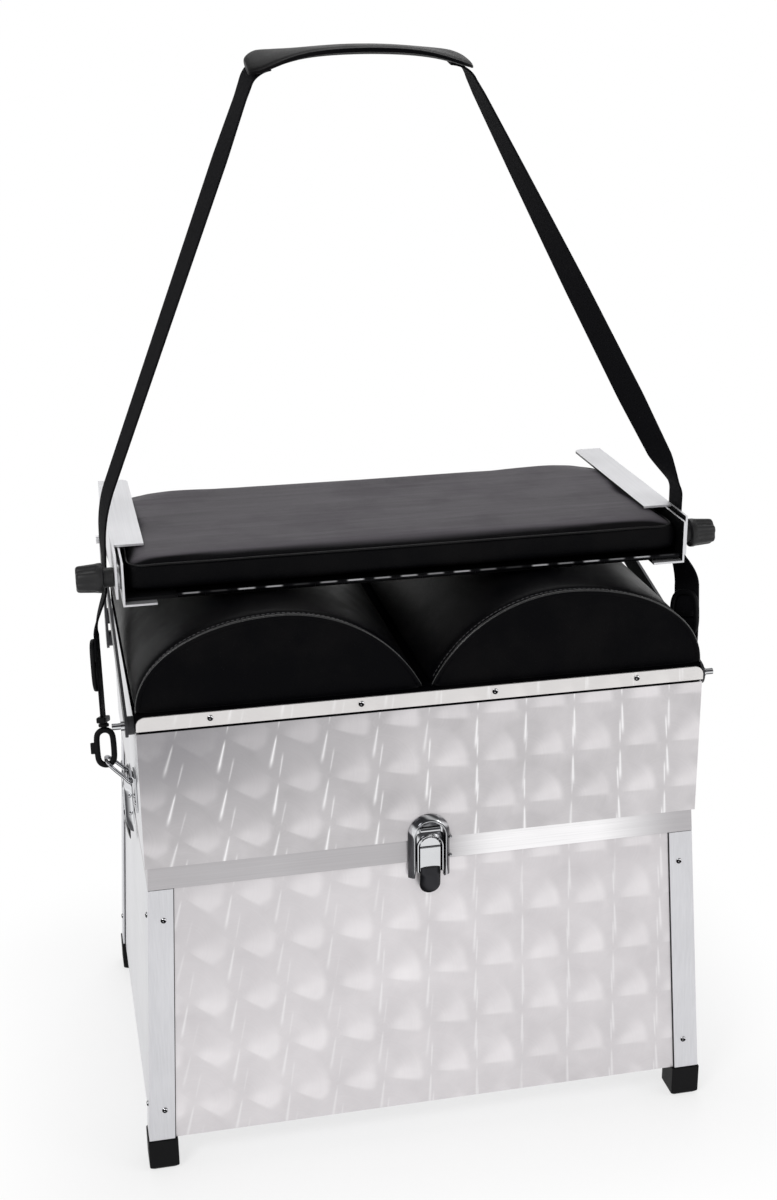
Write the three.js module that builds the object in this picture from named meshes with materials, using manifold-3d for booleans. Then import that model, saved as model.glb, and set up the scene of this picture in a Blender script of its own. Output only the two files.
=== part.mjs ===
// Fishing seat box: a flared aluminium box on four feet, a deep lid that carries a seat of
// two half-round rolls, a padded backrest folded down over them and a carrying strap.
// Millimetres. +X is the sitter's left seen from the front, +Y the back, +Z up.
// The origin is on the ground under the middle of the box.

import * as THREE from 'three';
import { mergeVertices } from 'three/addons/utils/BufferGeometryUtils.js';
import Module from 'manifold-3d';

const wasm = await Module();
wasm.setup();

// Clearances shared by every piece

const gap = 0.3;
const pivotClearance = 0.25;
const overrun = 2;

// Lower box: it stands on its feet and flares towards the ground

const footHeight = 31;
const footSize = 27;
const footOverhang = 1.2;
const footChamfer = 3;
const lowerTop = 299.4;
const rimStep = 2.3;
const sideFlare = 14.6;
const frontFlare = 15.3;
const panelSheet = 2;
const postLeg = 22;
const postSheet = 2;
const rimHeight = 21.5;
const floorLift = 2;
const floorSheet = 2;

// Deep lid

const lidWidth = 500;
const lidDepth = 345;
const lidTop = 426;
const lidSheet = 2;
const lidHem = 10;

// Seat

const boardHeight = 16.2;
const boardCorner = 6;
const trimSheet = 1.5;
const trimHeight = 12.5;
const trimDrop = 1;
const trimCorner = 8;
const rollEndMargin = 4;
const rollHeight = 77.9;
const rollFlank = 18;
const rollSpacing = 5;
const rollEndInset = 4;
const rollSeamInset = 2.2;
const rollPiping = 12;
const rollArcSteps = 10;

// Rear hinge of the lid

const hingeLeafHeight = 18;
const hingeLeafSheet = 1.2;
const hingeBarrelRadius = 2.4;
const hingePinRadius = 1.2;
const hingeKnuckles = 15;
const hingeMargin = 25;
const hingeStandOff = 0.3;

// Latches: a domed shell on the lid, a hasp hung in it and a keeper on the lower box

const latchWidth = 38;
const latchHeightAbove = 24.3;
const latchHeightBelow = 36.7;
const latchRim = 4;
const latchLip = 3.4;
const latchBackSheet = 1;
const latchPinRise = 11.3;
const latchPinRadius = 1.2;
const haspWidth = 25;
const haspSheet = 1.6;
const haspKnuckleRadius = 2.7;
const haspKnuckleWidth = 19;
const haspClearance = 1.5;
const haspPlateDrop = 28.7;
const haspFrame = 3;
const haspFrameRise = 1.4;
const haspTabWidth = 19;
const haspTabDrop = 51.7;
const haspTabRise = 3.5;
const keeperWidth = 18;
const keeperTopDrop = 5.7;
const keeperHeight = 28;
const keeperSheet = 1.5;
const keeperNoseHeight = 8;
const keeperNoseRise = 0.9;
const sideLatchPlace = -10;

// Backrest: flat arms from a rear pivot, brackets clamped by knobs, a base board and a pad

const pivotInset = 22.5;
const pivotDrop = 39.5;
const knobInset = 22;
const knobRise = 15.5;
const padSideInset = 1.4;
const padFront = -107;
const padBack = 116;
const padHeight = 27.2;
const padCrown = 2.6;
const padFrontCorner = 14;
const padBackCorner = 46;
const padEdge = 11;
const padDraw = 2;
const padCornerSteps = 5;
const padSideSteps = 8;
const baseBoardHeight = 3;
const baseBoardInset = 4;
const innerPlateLead = 8;
const innerPlateLength = 80;
const bracketSheet = 2;
const innerFlange = 29;
const outerPlateSetBack = 1;
const outerPlateOverhang = 24;
const outerPlateLift = 2;
const flangeClearance = 1.2;
const outerFlange = 28;
const outerFlangeSetBack = 38;
const outerFlangeCorner = 8;
const armSheet = 2.5;
const armWidth = 22;
const padHingeSheet = 0.8;
const padHingeLeaf = 22;
const padHingeRadius = 2.2;
const padHingePinRadius = 1;
const padHingeOut = 4.2;
const padHingeKnuckles = 19;
const padHingeLeftMargin = 43.6;
const padHingeRightMargin = 1.6;
const tiltRange = THREE.MathUtils.degToRad(15);

// Clamping knobs

const knobBoltRadius = 3;
const knobCollarRadius = 8.5;
const knobCollarLength = 9;
const knobRadius = 13;
const knobTaper = 1.6;
const knobLength = 23;
const knobFlutes = 6;
const knobFluteRadius = 5;
const knobFluteDepth = 2.2;
const knobFluteFloorShare = 0.25;

// Side brackets that carry the rear pivots, and the studs at their front ends

const bracketPlateSheet = 2.5;
const bracketPlateOut = 5.6;
const railWidth = 20;
const railFrontDrop = 0.5;
const uprightDrop = 34;
const bracketBossRadius = 8;
const studRadius = 2.8;
const studLength = 18.5;
const studHeadRadius = 4;
const studHeadLength = 3;

// Carrying strap

const strapWidth = 28;
const strapSheet = 2;
const strapStand = 6.5;
const strapBehindKnob = 27;
const strapBendRise = 15.5;
const strapRise = 371;
const leftArchShare = 0.46;
const rightArchShare = 0.23;
const runStand = 15.9;
const runLead = 17;
const runDrop = 41;
const runLean = THREE.MathUtils.degToRad(20);
const runTurn = THREE.MathUtils.degToRad(45);
const sliderDrop = 27;
const sliderWidth = 33;
const sliderLength = 46;
const sliderSheet = 4;
const sliderBar = 5;
const sliderCornerShare = 0.45;
const eyeDrop = 72;
const eyeWidth = 34;
const eyeDepth = 9;
const eyeThickness = 5;
const hookTubeRadius = 2.8;
const hookHalfWidth = 10;
const hookHalfHeight = 18;
const hookNeck = 4;
const ringWire = 1.7;
const ringWidth = 26;
const ringLean = THREE.MathUtils.degToRad(45);
const ringPlateWidth = 24;
const ringPlateHeight = 30;
const ringPlateSheet = 1.5;
const ringSleeveRadius = 3.4;
const ringSleeveWidth = 14;
const shoulderWidth = 52;
const shoulderHeight = 8;
const shoulderArch = 12;
const shoulderSteps = 14;
const roundSides = 24;
const barrelSides = 10;
const wireSides = 8;

// Finishes

const finishes = {
  turned: { color: 0xd6d6d8, roughness: 0.3, metalness: 0.85 },
  brushed: { color: 0xcfd0d2, roughness: 0.38, metalness: 0.9 },
  chrome: { color: 0xe6e7ea, roughness: 0.12, metalness: 1 },
  leatherette: { color: 0x16161a, roughness: 0.45, metalness: 0 },
  plastic: { color: 0x1b1b1d, roughness: 0.55, metalness: 0 },
  webbing: { color: 0x17171a, roughness: 0.85, metalness: 0 },
  board: { color: 0x222224, roughness: 0.7, metalness: 0 },
};
const materials = Object.fromEntries(
  Object.entries(finishes).map(([name, look]) => [name, new THREE.MeshStandardMaterial(look)]),
);

const part = new THREE.Group();

function add(name, geometry, finish, parent = part) {
  const mesh = new THREE.Mesh(geometry, materials[finish]);
  mesh.name = name;
  parent.add(mesh);
}

// Solids and booleans

function bare(geometry) {
  const copy = geometry.clone();
  copy.deleteAttribute('normal');
  copy.deleteAttribute('uv');
  return mergeVertices(copy);
}

function solid(geometry) {
  const closed = bare(geometry);
  return new wasm.Manifold(new wasm.Mesh({
    numProp: 3,
    vertProperties: new Float32Array(closed.attributes.position.array),
    triVerts: new Uint32Array(closed.index.array),
  }));
}

function geometryOf(manifold) {
  const mesh = manifold.getMesh();
  const geometry = new THREE.BufferGeometry();
  geometry.setAttribute('position', new THREE.BufferAttribute(mesh.vertProperties, mesh.numProp));
  geometry.setIndex(new THREE.BufferAttribute(mesh.triVerts, 1));
  geometry.computeVertexNormals();
  return geometry;
}

function join(...geometries) {
  return geometryOf(geometries.map(solid).reduce((whole, next) => whole.add(next)));
}

function cut(geometry, ...tools) {
  return geometryOf(tools.map(solid).reduce((whole, next) => whole.subtract(next), solid(geometry)));
}

function common(first, second) {
  return geometryOf(solid(first).intersect(solid(second)));
}

// Simple shapes, each given by its two ends along every axis

function block([x0, x1], [y0, y1], [z0, z1]) {
  const size = [x1 - x0, y1 - y0, z1 - z0].map(Math.abs);
  const box = new THREE.BoxGeometry(...size);
  return box.translate((x0 + x1) / 2, (y0 + y1) / 2, (z0 + z1) / 2);
}

const frontView = new THREE.Matrix4().makeBasis(
  new THREE.Vector3(1, 0, 0), new THREE.Vector3(0, 0, 1), new THREE.Vector3(0, -1, 0),
);
const sideView = new THREE.Matrix4().makeBasis(
  new THREE.Vector3(0, 1, 0), new THREE.Vector3(0, 0, 1), new THREE.Vector3(1, 0, 0),
);

// A shape drawn in X and Z, thick from one Y to another
function frontPlate(shape, y0, y1, curveSegments = 6) {
  const depth = Math.abs(y1 - y0);
  const plate = new THREE.ExtrudeGeometry(shape, { depth, bevelEnabled: false, curveSegments });
  return plate.applyMatrix4(frontView).translate(0, Math.max(y0, y1), 0);
}

// A shape drawn in Y and Z, thick from one X to another
function sidePlate(shape, x0, x1, curveSegments = 6) {
  const depth = Math.abs(x1 - x0);
  const plate = new THREE.ExtrudeGeometry(shape, { depth, bevelEnabled: false, curveSegments });
  return plate.applyMatrix4(sideView).translate(Math.min(x0, x1), 0, 0);
}

function polygon(points) {
  return new THREE.Shape(points.map(([u, v]) => new THREE.Vector2(u, v)));
}

// A rod along X
function rod(radius, x0, x1, y, z, sides = roundSides) {
  const cylinder = new THREE.CylinderGeometry(radius, radius, Math.abs(x1 - x0), sides);
  return cylinder.rotateZ(Math.PI / 2).translate((x0 + x1) / 2, y, z);
}

// A rectangle with its own radius at each corner, from the lower left one round
function roundedOutline([u0, u1], [v0, v1], [a, b, c, d]) {
  const shape = new THREE.Shape();
  const quarter = Math.PI / 2;
  const corner = (u, v, radius, start) => {
    if (radius > 0) shape.absarc(u, v, radius, start, start + quarter, false);
    else shape.lineTo(u, v);
  };
  shape.moveTo(u0 + a, v0);
  corner(u1 - b, v0 + b, b, -quarter);
  corner(u1 - c, v1 - c, c, 0);
  corner(u0 + d, v1 - d, d, quarter);
  corner(u0 + a, v0 + a, a, 2 * quarter);
  return shape;
}

// A slot with round ends between two points
function slotOutline([u0, v0], [u1, v1], radius) {
  const along = Math.atan2(v1 - v0, u1 - u0);
  const quarter = Math.PI / 2;
  const shape = new THREE.Shape();
  shape.absarc(u1, v1, radius, along - quarter, along + quarter, false);
  shape.absarc(u0, v0, radius, along + quarter, along + 3 * quarter, false);
  return shape;
}

// A closed skin over rings of points; the ends are capped unless the last ring meets the first
function loft(rings, closed = false) {
  const count = rings[0].length;
  const points = rings.flat();
  const index = [];
  const bands = closed ? rings.length : rings.length - 1;
  for (let band = 0; band < bands; band += 1) {
    const here = band * count;
    const there = ((band + 1) % rings.length) * count;
    for (let side = 0; side < count; side += 1) {
      const next = (side + 1) % count;
      index.push(here + side, here + next, there + next);
      index.push(here + side, there + next, there + side);
    }
  }
  if (!closed) {
    for (const [ring, flip] of [[0, true], [rings.length - 1, false]]) {
      const middle = points.length;
      const sum = rings[ring].reduce((total, point) => total.add(point), new THREE.Vector3());
      points.push(sum.divideScalar(count));
      for (let side = 0; side < count; side += 1) {
        const first = ring * count + side;
        const second = ring * count + ((side + 1) % count);
        index.push(middle, ...(flip ? [second, first] : [first, second]));
      }
    }
  }
  const geometry = new THREE.BufferGeometry().setFromPoints(points);
  geometry.setIndex(index);
  return outward(geometry);
}

// Turns every face round if the skin encloses a negative volume
function outward(geometry) {
  const position = geometry.attributes.position;
  const index = geometry.index.array;
  const [a, b, c] = [0, 1, 2].map(() => new THREE.Vector3());
  let volume = 0;
  for (let face = 0; face < index.length; face += 3) {
    a.fromBufferAttribute(position, index[face]);
    b.fromBufferAttribute(position, index[face + 1]);
    c.fromBufferAttribute(position, index[face + 2]);
    volume += a.dot(b.cross(c));
  }
  if (volume < 0) geometry.setIndex(Array.from(index).reverse());
  geometry.computeVertexNormals();
  return geometry;
}

// A round wire along a closed flat curve
function closedWire(centres, planeNormal, radius) {
  const count = centres.length;
  return loft(centres.map((centre, place) => {
    const before = centres[(place + count - 1) % count];
    const after = centres[(place + 1) % count];
    const tangent = after.clone().sub(before).normalize();
    const across = tangent.cross(planeNormal);
    return Array.from({ length: wireSides }, (_, side) => {
      const angle = (2 * Math.PI * side) / wireSides;
      return centre.clone()
        .addScaledVector(across, radius * Math.cos(angle))
        .addScaledVector(planeNormal, radius * Math.sin(angle));
    });
  }), true);
}

// Lower box. Its pieces are drawn upright and then spread by the flare.

const halfWidth = lidWidth / 2 - rimStep;
const halfDepth = lidDepth / 2 - rimStep;

function flareAt(z) {
  const share = Math.min((lowerTop - z) / (lowerTop - footHeight), 1);
  return { x: 1 + (share * sideFlare) / halfWidth, y: 1 + (share * frontFlare) / halfDepth };
}

function flared(geometry) {
  const position = geometry.attributes.position;
  for (let place = 0; place < position.count; place += 1) {
    const spread = flareAt(position.getZ(place));
    position.setX(place, position.getX(place) * spread.x);
    position.setY(place, position.getY(place) * spread.y);
  }
  geometry.computeVertexNormals();
  return geometry;
}

const panelX = halfWidth - postSheet - gap;
const panelY = halfDepth - postSheet - gap;
const panelBottom = footHeight + gap;

function buildLowerBox() {
  const height = [panelBottom, lowerTop];
  const floorHeight = [panelBottom + floorLift, panelBottom + floorLift + floorSheet];
  const innerX = panelX - panelSheet - gap;
  const innerY = panelY - panelSheet - gap;
  const wide = [-panelX, panelX];
  add('lower_front_panel', flared(block(wide, [-panelY, panelSheet - panelY], height)), 'turned');
  add('lower_back_panel', flared(block(wide, [panelY - panelSheet, panelY], height)), 'turned');
  for (const [side, name] of [[-1, 'left'], [1, 'right']]) {
    const across = [side * (panelX - panelSheet), side * panelX].sort((a, b) => a - b);
    add(`lower_${name}_panel`, flared(block(across, [-innerY, innerY], height)), 'brushed');
  }
  add('floor_panel', flared(block([-innerX, innerX], [-innerY, innerY], floorHeight)), 'brushed');
  const rimHeights = [lowerTop - rimHeight, lowerTop];
  const bore = block(
    [postSheet - halfWidth, halfWidth - postSheet],
    [postSheet - halfDepth, halfDepth - postSheet],
    [rimHeights[0] - overrun, rimHeights[1] + overrun],
  );
  const rim = block([-halfWidth, halfWidth], [-halfDepth, halfDepth], rimHeights);
  add('rim_band', flared(cut(rim, bore)), 'brushed');
}

function buildPost(name, sideX, sideY) {
  const corner = [sideX * halfWidth, sideY * halfDepth];
  const outline = polygon([
    [0, 0],
    [postLeg, 0],
    [postLeg, postSheet],
    [postSheet, postSheet],
    [postSheet, postLeg],
    [0, postLeg],
  ]);
  const height = lowerTop - rimHeight - gap - panelBottom;
  const post = new THREE.ExtrudeGeometry(outline, { depth: height, bevelEnabled: false });
  post.applyMatrix4(new THREE.Matrix4().makeScale(-sideX, -sideY, 1));
  post.translate(corner[0], corner[1], panelBottom);
  add(`post_${name}`, flared(outward(bare(post))), 'brushed');
}

function buildFoot(name, sideX, sideY) {
  const outerX = halfWidth + sideFlare + footOverhang;
  const outerY = halfDepth + frontFlare + footOverhang;
  const half = footSize / 2;
  const ring = (inset, z) => [[-1, -1], [1, -1], [1, 1], [-1, 1]].map(([u, v]) => new THREE.Vector3(
    sideX * (outerX - half) + u * (half - inset),
    sideY * (outerY - half) + v * (half - inset),
    z,
  ));
  const foot = loft([ring(footChamfer, 0), ring(0, footChamfer), ring(0, footHeight)]);
  add(`foot_${name}`, foot, 'plastic');
}

// Deep lid: four walls with a turned-in hem that rests on the rim

const lidBottom = lowerTop + gap;
const lidX = lidWidth / 2;
const lidY = lidDepth / 2;

function buildLid() {
  const hemTop = lidBottom + lidSheet;
  for (const [side, name] of [[-1, 'front'], [1, 'back']]) {
    const hemX = lidX - lidSheet - gap;
    const wall = block([-lidX, lidX], [side * (lidY - lidSheet), side * lidY], [lidBottom, lidTop]);
    const hem = block([-hemX, hemX], [side * (lidY - lidHem), side * lidY], [lidBottom, hemTop]);
    add(`lid_${name}_panel`, join(wall, hem), 'turned');
  }
  for (const [side, name] of [[-1, 'left'], [1, 'right']]) {
    const wallEnd = lidY - lidSheet - gap;
    const hemEnd = lidY - lidHem - gap;
    const wall = block([side * (lidX - lidSheet), side * lidX], [-wallEnd, wallEnd], [lidBottom, lidTop]);
    const hem = block([side * (lidX - lidHem), side * lidX], [-hemEnd, hemEnd], [lidBottom, hemTop]);
    add(`lid_${name}_panel`, join(wall, hem), 'brushed');
  }
}

// Seat: a wrapped board with a metal strip along its front, and two half-round rolls

const boardBottom = lidTop + gap;
const boardTop = boardBottom + boardHeight;

function buildSeat() {
  const corners = [boardCorner, boardCorner, boardCorner, boardCorner];
  const outline = roundedOutline([-lidX, lidX], [-lidY, lidY], corners);
  const board = new THREE.ExtrudeGeometry(outline, { depth: boardHeight, bevelEnabled: false, curveSegments: 3 });
  add('seat_board', board.translate(0, 0, boardBottom), 'leatherette');
  const trimTop = boardTop - trimDrop;
  const trimShape = roundedOutline([-lidX, lidX], [trimTop - trimHeight, trimTop], [0, 0, trimCorner, trimCorner]);
  const trimBack = -lidY - gap;
  add('seat_front_trim', frontPlate(trimShape, trimBack - trimSheet, trimBack), 'turned');
}

// The arch of a roll in X and Z: a short upright flank, then one arc up to the crown and a
// second one down to the seam between the rolls
function rollOutline(inset) {
  const half = (lidX - rollSpacing / 2) / 2;
  const arc = (rise, from, to) => {
    const radius = (half ** 2 + rise ** 2) / (2 * rise);
    const sweep = Math.asin(half / radius);
    return Array.from({ length: rollArcSteps + 1 }, (_, step) => {
      const angle = sweep * THREE.MathUtils.lerp(from, to, step / rollArcSteps);
      return [radius * Math.sin(angle), rollHeight - radius + radius * Math.cos(angle)];
    });
  };
  const outer = arc(rollHeight - rollFlank, 1, 0);
  const inner = arc(rollHeight, 0, -1).slice(1);
  const narrow = 1 - inset / half;
  const low = 1 - inset / rollHeight;
  return [[half, 0], ...outer, ...inner].map(([x, z]) => [half + x * narrow, z * low]);
}

function buildRoll(name, side) {
  const base = boardTop + gap;
  const end = lidY - rollEndMargin;
  const fromEnd = [
    [0, rollEndInset],
    [rollEndInset / 3, rollEndInset / 3],
    [rollEndInset, 0],
    [rollPiping, rollSeamInset],
    [rollPiping + 2 * rollSeamInset, rollSeamInset / 2],
    [2 * rollPiping + 2 * rollSeamInset, 0],
  ];
  const stations = [
    ...fromEnd.map(([along, inset]) => [along - end, inset]),
    ...fromEnd.map(([along, inset]) => [end - along, inset]).reverse(),
  ];
  const rings = stations.map(([y, inset]) => rollOutline(inset).map(
    ([x, z]) => new THREE.Vector3(side * (rollSpacing / 2 + x), y, base + z),
  ));
  add(name, loft(rings), 'leatherette');
}

// Rear hinge: two leaves with alternate knuckles round one pin

const hingeLength = lidWidth - 2 * hingeMargin;
const hingeY = lidY + hingeStandOff + hingeBarrelRadius;
const hingeZ = lidBottom;

function knuckleSpans([from, to], count, odd) {
  const pitch = (to - from) / count;
  const spans = [];
  for (let place = odd; place < count; place += 2) {
    const start = from + place * pitch;
    spans.push([start + gap / 2, start + pitch - gap / 2]);
  }
  return spans;
}

function buildLidHinge() {
  const half = hingeLength / 2;
  const leafInner = lidY + gap;
  const upperLeaf = block(
    [-half, half],
    [leafInner, leafInner + hingeLeafSheet],
    [hingeZ + hingeBarrelRadius / 2, hingeZ + hingeLeafHeight],
  );
  const upperBarrels = knuckleSpans([-half, half], hingeKnuckles, 1)
    .map(([x0, x1]) => rod(hingeBarrelRadius, x0, x1, hingeY, hingeZ, barrelSides));
  const bore = rod(
    hingePinRadius + pivotClearance, -half - overrun, half + overrun, hingeY, hingeZ, barrelSides,
  );
  const relief = knuckleSpans([-half, half], hingeKnuckles, 0).map(([x0, x1]) => block(
    [x0 - gap, x1 + gap],
    [hingeY - hingeBarrelRadius - gap - overrun, hingeY + hingeBarrelRadius + gap],
    [hingeZ - overrun, hingeZ + hingeBarrelRadius + gap],
  ));
  add('lid_hinge_upper', cut(join(upperLeaf, ...upperBarrels), bore, ...relief), 'brushed');

  const lowerInner = halfDepth + gap;
  const webTop = hingeZ - gap;
  const webBottom = webTop - hingeBarrelRadius;
  const lowerLeaf = flared(block(
    [-half, half],
    [lowerInner, lowerInner + hingeLeafSheet],
    [hingeZ - hingeLeafHeight, webTop],
  ));
  const lowerBarrels = knuckleSpans([-half, half], hingeKnuckles, 0).flatMap(([x0, x1]) => [
    rod(hingeBarrelRadius, x0, x1, hingeY, hingeZ, barrelSides),
    block([x0, x1], [lowerInner + hingeLeafSheet / 2, hingeY], [webBottom, webTop]),
  ]);
  const pin = rod(hingePinRadius, -half, half, hingeY, hingeZ, barrelSides);
  add('lid_hinge_lower', join(lowerLeaf, ...lowerBarrels, pin), 'brushed');
}

// A latch, drawn on a face that looks along -Y and lies at Y = 0. Below the lid the lower box
// starts a step further back and leans out by the slope.

const latchTop = lidBottom + latchHeightAbove;
const latchBottom = lidBottom - latchHeightBelow;
const latchPinHeight = lidBottom + latchPinRise;
const haspPlateBottom = lidBottom - haspPlateDrop;
const haspTabBottom = lidBottom - haspTabDrop;
const keeperTop = lidBottom - keeperTopDrop;
const keeperBottom = keeperTop - keeperHeight;

function lowerFaceAt(z, slope) {
  return rimStep - (lowerTop - z) * slope - gap;
}

// How far the hasp's pin stands out, so that the hasp hangs clear of the keeper's nose
function latchPinOutOver(slope) {
  const keeperReach = keeperSheet + keeperNoseRise - lowerFaceAt(keeperBottom, slope);
  return keeperReach + haspClearance + haspSheet / 2;
}

function latchDome(slope) {
  const latchPinOut = latchPinOutOver(slope);
  const latchRise = latchPinOut + latchLip;
  const half = latchWidth / 2;
  const centre = latchTop - half;
  const arch = (radius, bottom) => {
    const shape = new THREE.Shape();
    shape.moveTo(radius, bottom);
    shape.lineTo(radius, centre);
    shape.absarc(0, centre, radius, 0, Math.PI, false);
    shape.lineTo(-radius, bottom);
    shape.closePath();
    return shape;
  };
  const back = -gap;
  const shell = frontPlate(arch(half, latchBottom), back, back - latchRise, 8);
  const hollow = frontPlate(
    arch(half - latchRim, latchBottom - overrun), back + overrun, back - latchRise - overrun, 8,
  );
  const plate = frontPlate(arch(half - latchRim / 2, lidBottom), back, back - latchBackSheet, 8);
  const topSlope = polygon([
    [-latchRise - gap - overrun, latchTop + overrun],
    [-latchRise / 2, latchTop + overrun],
    [-latchRise - gap, latchTop - latchRim * 2],
    [-latchRise - gap - overrun, latchTop - latchRim * 2],
  ]);
  const slopeCut = sidePlate(topSlope, -latchWidth, latchWidth);
  const legSlope = polygon([
    [-latchRise - gap - overrun, latchBottom - overrun],
    [-latchRise / 2, latchBottom - overrun],
    [-latchRise - gap, latchBottom + latchRim * 3],
    [-latchRise - gap - overrun, latchBottom + latchRim * 3],
  ]);
  const legCut = sidePlate(legSlope, -latchWidth, latchWidth);
  const low = latchBottom - overrun;
  const boxBehind = sidePlate(polygon([
    [lowerFaceAt(low, slope), low],
    [latchRise, low],
    [latchRise, lowerTop],
    [lowerFaceAt(lowerTop, slope), lowerTop],
  ]), -latchWidth, latchWidth);
  const pinEnd = half - latchRim / 2;
  const pin = rod(latchPinRadius, -pinEnd, pinEnd, -latchPinOut, latchPinHeight, wireSides);
  return join(cut(shell, hollow, slopeCut, legCut, boxBehind), plate, pin);
}

function latchHasp(slope) {
  const latchPinOut = latchPinOutOver(slope);
  const latchRise = latchPinOut + latchLip;
  const back = latchPinOut - haspSheet / 2;
  const front = latchPinOut + haspSheet / 2;
  const profile = polygon([
    [-back, latchPinHeight],
    [-back, haspPlateBottom],
    [-back, haspTabBottom],
    [-back - haspSheet, haspTabBottom],
    [-front - haspTabRise, haspPlateBottom - haspFrame],
    [-front, haspPlateBottom],
    [-front, latchPinHeight],
  ]);
  const slab = sidePlate(profile, -haspWidth / 2, haspWidth / 2);
  const tabRadius = haspTabWidth / 2;
  const outline = new THREE.Shape();
  outline.moveTo(-haspKnuckleWidth / 2, latchPinHeight + haspKnuckleRadius);
  outline.lineTo(-haspKnuckleWidth / 2, latchPinHeight - haspKnuckleRadius);
  outline.lineTo(-haspWidth / 2, latchPinHeight - 2 * haspKnuckleRadius);
  outline.lineTo(-haspWidth / 2, haspPlateBottom);
  outline.lineTo(-haspTabWidth / 2, haspPlateBottom - haspFrame);
  outline.absarc(0, haspTabBottom + tabRadius, tabRadius, Math.PI, 2 * Math.PI, false);
  outline.lineTo(haspTabWidth / 2, haspPlateBottom - haspFrame);
  outline.lineTo(haspWidth / 2, haspPlateBottom);
  outline.lineTo(haspWidth / 2, latchPinHeight - 2 * haspKnuckleRadius);
  outline.lineTo(haspKnuckleWidth / 2, latchPinHeight - haspKnuckleRadius);
  outline.lineTo(haspKnuckleWidth / 2, latchPinHeight + haspKnuckleRadius);
  const trimmed = common(slab, frontPlate(outline, 0, -latchRise - haspTabRise - overrun, 8));
  const frameTop = latchPinHeight - 2 * haspKnuckleRadius;
  const frameOuter = block(
    [-haspWidth / 2, haspWidth / 2],
    [-front - haspFrameRise, -latchPinOut],
    [haspPlateBottom, frameTop],
  );
  const frameInner = block(
    [haspFrame - haspWidth / 2, haspWidth / 2 - haspFrame],
    [-front - haspFrameRise - overrun, -front],
    [haspPlateBottom + haspFrame, frameTop - haspFrame],
  );
  const knuckle = rod(
    haspKnuckleRadius, -haspKnuckleWidth / 2, haspKnuckleWidth / 2, -latchPinOut, latchPinHeight, barrelSides,
  );
  const bore = rod(
    latchPinRadius + pivotClearance, -latchWidth, latchWidth, -latchPinOut, latchPinHeight, wireSides,
  );
  return cut(join(trimmed, cut(frameOuter, frameInner), knuckle), bore);
}

function latchKeeper(slope) {
  const noseMiddle = (keeperTop + keeperBottom) / 2;
  const noseHalf = keeperNoseHeight / 2;
  const out = (z, thickness) => [lowerFaceAt(z, slope) - thickness, z];
  return sidePlate(polygon([
    out(keeperBottom, 0),
    out(keeperTop, 0),
    out(keeperTop, keeperSheet),
    out(noseMiddle + noseHalf, keeperSheet),
    out(noseMiddle, keeperSheet + keeperNoseRise),
    out(noseMiddle - noseHalf, keeperSheet),
    out(keeperBottom, keeperSheet),
  ]), -keeperWidth / 2, keeperWidth / 2);
}

function buildLatch(name, x, y, turn, slope) {
  const group = new THREE.Group();
  group.position.set(x, y, 0);
  group.rotation.z = turn;
  part.add(group);
  add(`latch_dome_${name}`, latchDome(slope), 'chrome', group);
  add(`latch_hasp_${name}`, latchHasp(slope), 'chrome', group);
  add(`latch_keeper_${name}`, latchKeeper(slope), 'chrome', group);
}

// Backrest. Its stack of plates at each end runs outwards from the pad.

const padX = lidX - padSideInset;
const innerPlateX = padX + gap;
const armX = innerPlateX + bracketSheet + gap;
const outerPlateX = armX + armSheet + gap;
const baseBoardBottom = boardTop + gap + rollHeight + gap;
const baseBoardTop = baseBoardBottom + baseBoardHeight;
const lowerLeafBottom = baseBoardTop + gap;
const upperLeafBottom = lowerLeafBottom + padHingeSheet + gap;
const padBottom = upperLeafBottom + padHingeSheet + gap;
const padHingeY = padFront - padHingeOut;
const padHingeZ = upperLeafBottom - gap / 2;
const knobPlace = padFront + knobInset;
const knobHeight = baseBoardBottom + knobRise;
const pivotPlace = lidY - pivotInset;
const pivotHeight = knobHeight - pivotDrop;
const innerPlateFront = padFront - innerPlateLead;
const outerPlateFront = padFront + outerPlateSetBack;
const outerPlateBack = padBack + outerPlateOverhang;
const outerPlateBottom = baseBoardBottom + outerPlateLift;
const outerPlateTop = padBottom + padHeight + padCrown + flangeClearance + bracketSheet;
const outerFlangeFront = outerPlateFront + outerFlangeSetBack;

// The pad's outline, its long sides drawn in between the corners
function padRing(inset, z) {
  const shape = roundedOutline(
    [inset - padX, padX - inset],
    [padFront + inset, padBack - inset],
    [padFrontCorner, padFrontCorner, padBackCorner, padBackCorner].map((corner) => Math.max(corner - inset, gap)),
  );
  const spaced = shape.curves.flatMap((curve) => {
    const round = curve.isEllipseCurve || curve.isArcCurve;
    const steps = round ? padCornerSteps : padSideSteps;
    return Array.from({ length: steps }, (_, place) => curve.getPoint(place / steps));
  });
  const middleY = (padFront + padBack) / 2;
  const halfY = (padBack - padFront) / 2;
  return spaced.map((point) => {
    const along = Math.min(Math.abs(point.x) / padX, 1);
    const draw = padDraw * (1 - along ** 2) * Math.sign(point.y - middleY);
    const reach = Math.abs(point.y - middleY) / halfY;
    return new THREE.Vector3(point.x, point.y - draw * reach ** 2, z);
  });
}

function buildPad() {
  const edgeTop = padBottom + padHeight;
  const quarter = Math.PI / 2;
  const rings = [padRing(padEdge / 4, padBottom), padRing(0, padBottom + padEdge / 2)];
  for (const share of [0, 1 / 3, 2 / 3, 1]) {
    const inset = padEdge * (1 - Math.cos(share * quarter));
    rings.push(padRing(inset, edgeTop - padEdge + padEdge * Math.sin(share * quarter)));
  }
  const middle = (padBack - padFront) / 2;
  for (const share of [0.35, 0.7]) {
    const inset = padEdge + (middle - padEdge) * share;
    rings.push(padRing(inset, edgeTop + padCrown * Math.sin(share * quarter)));
  }
  add('backrest_pad', loft(rings), 'leatherette');
}

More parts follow.
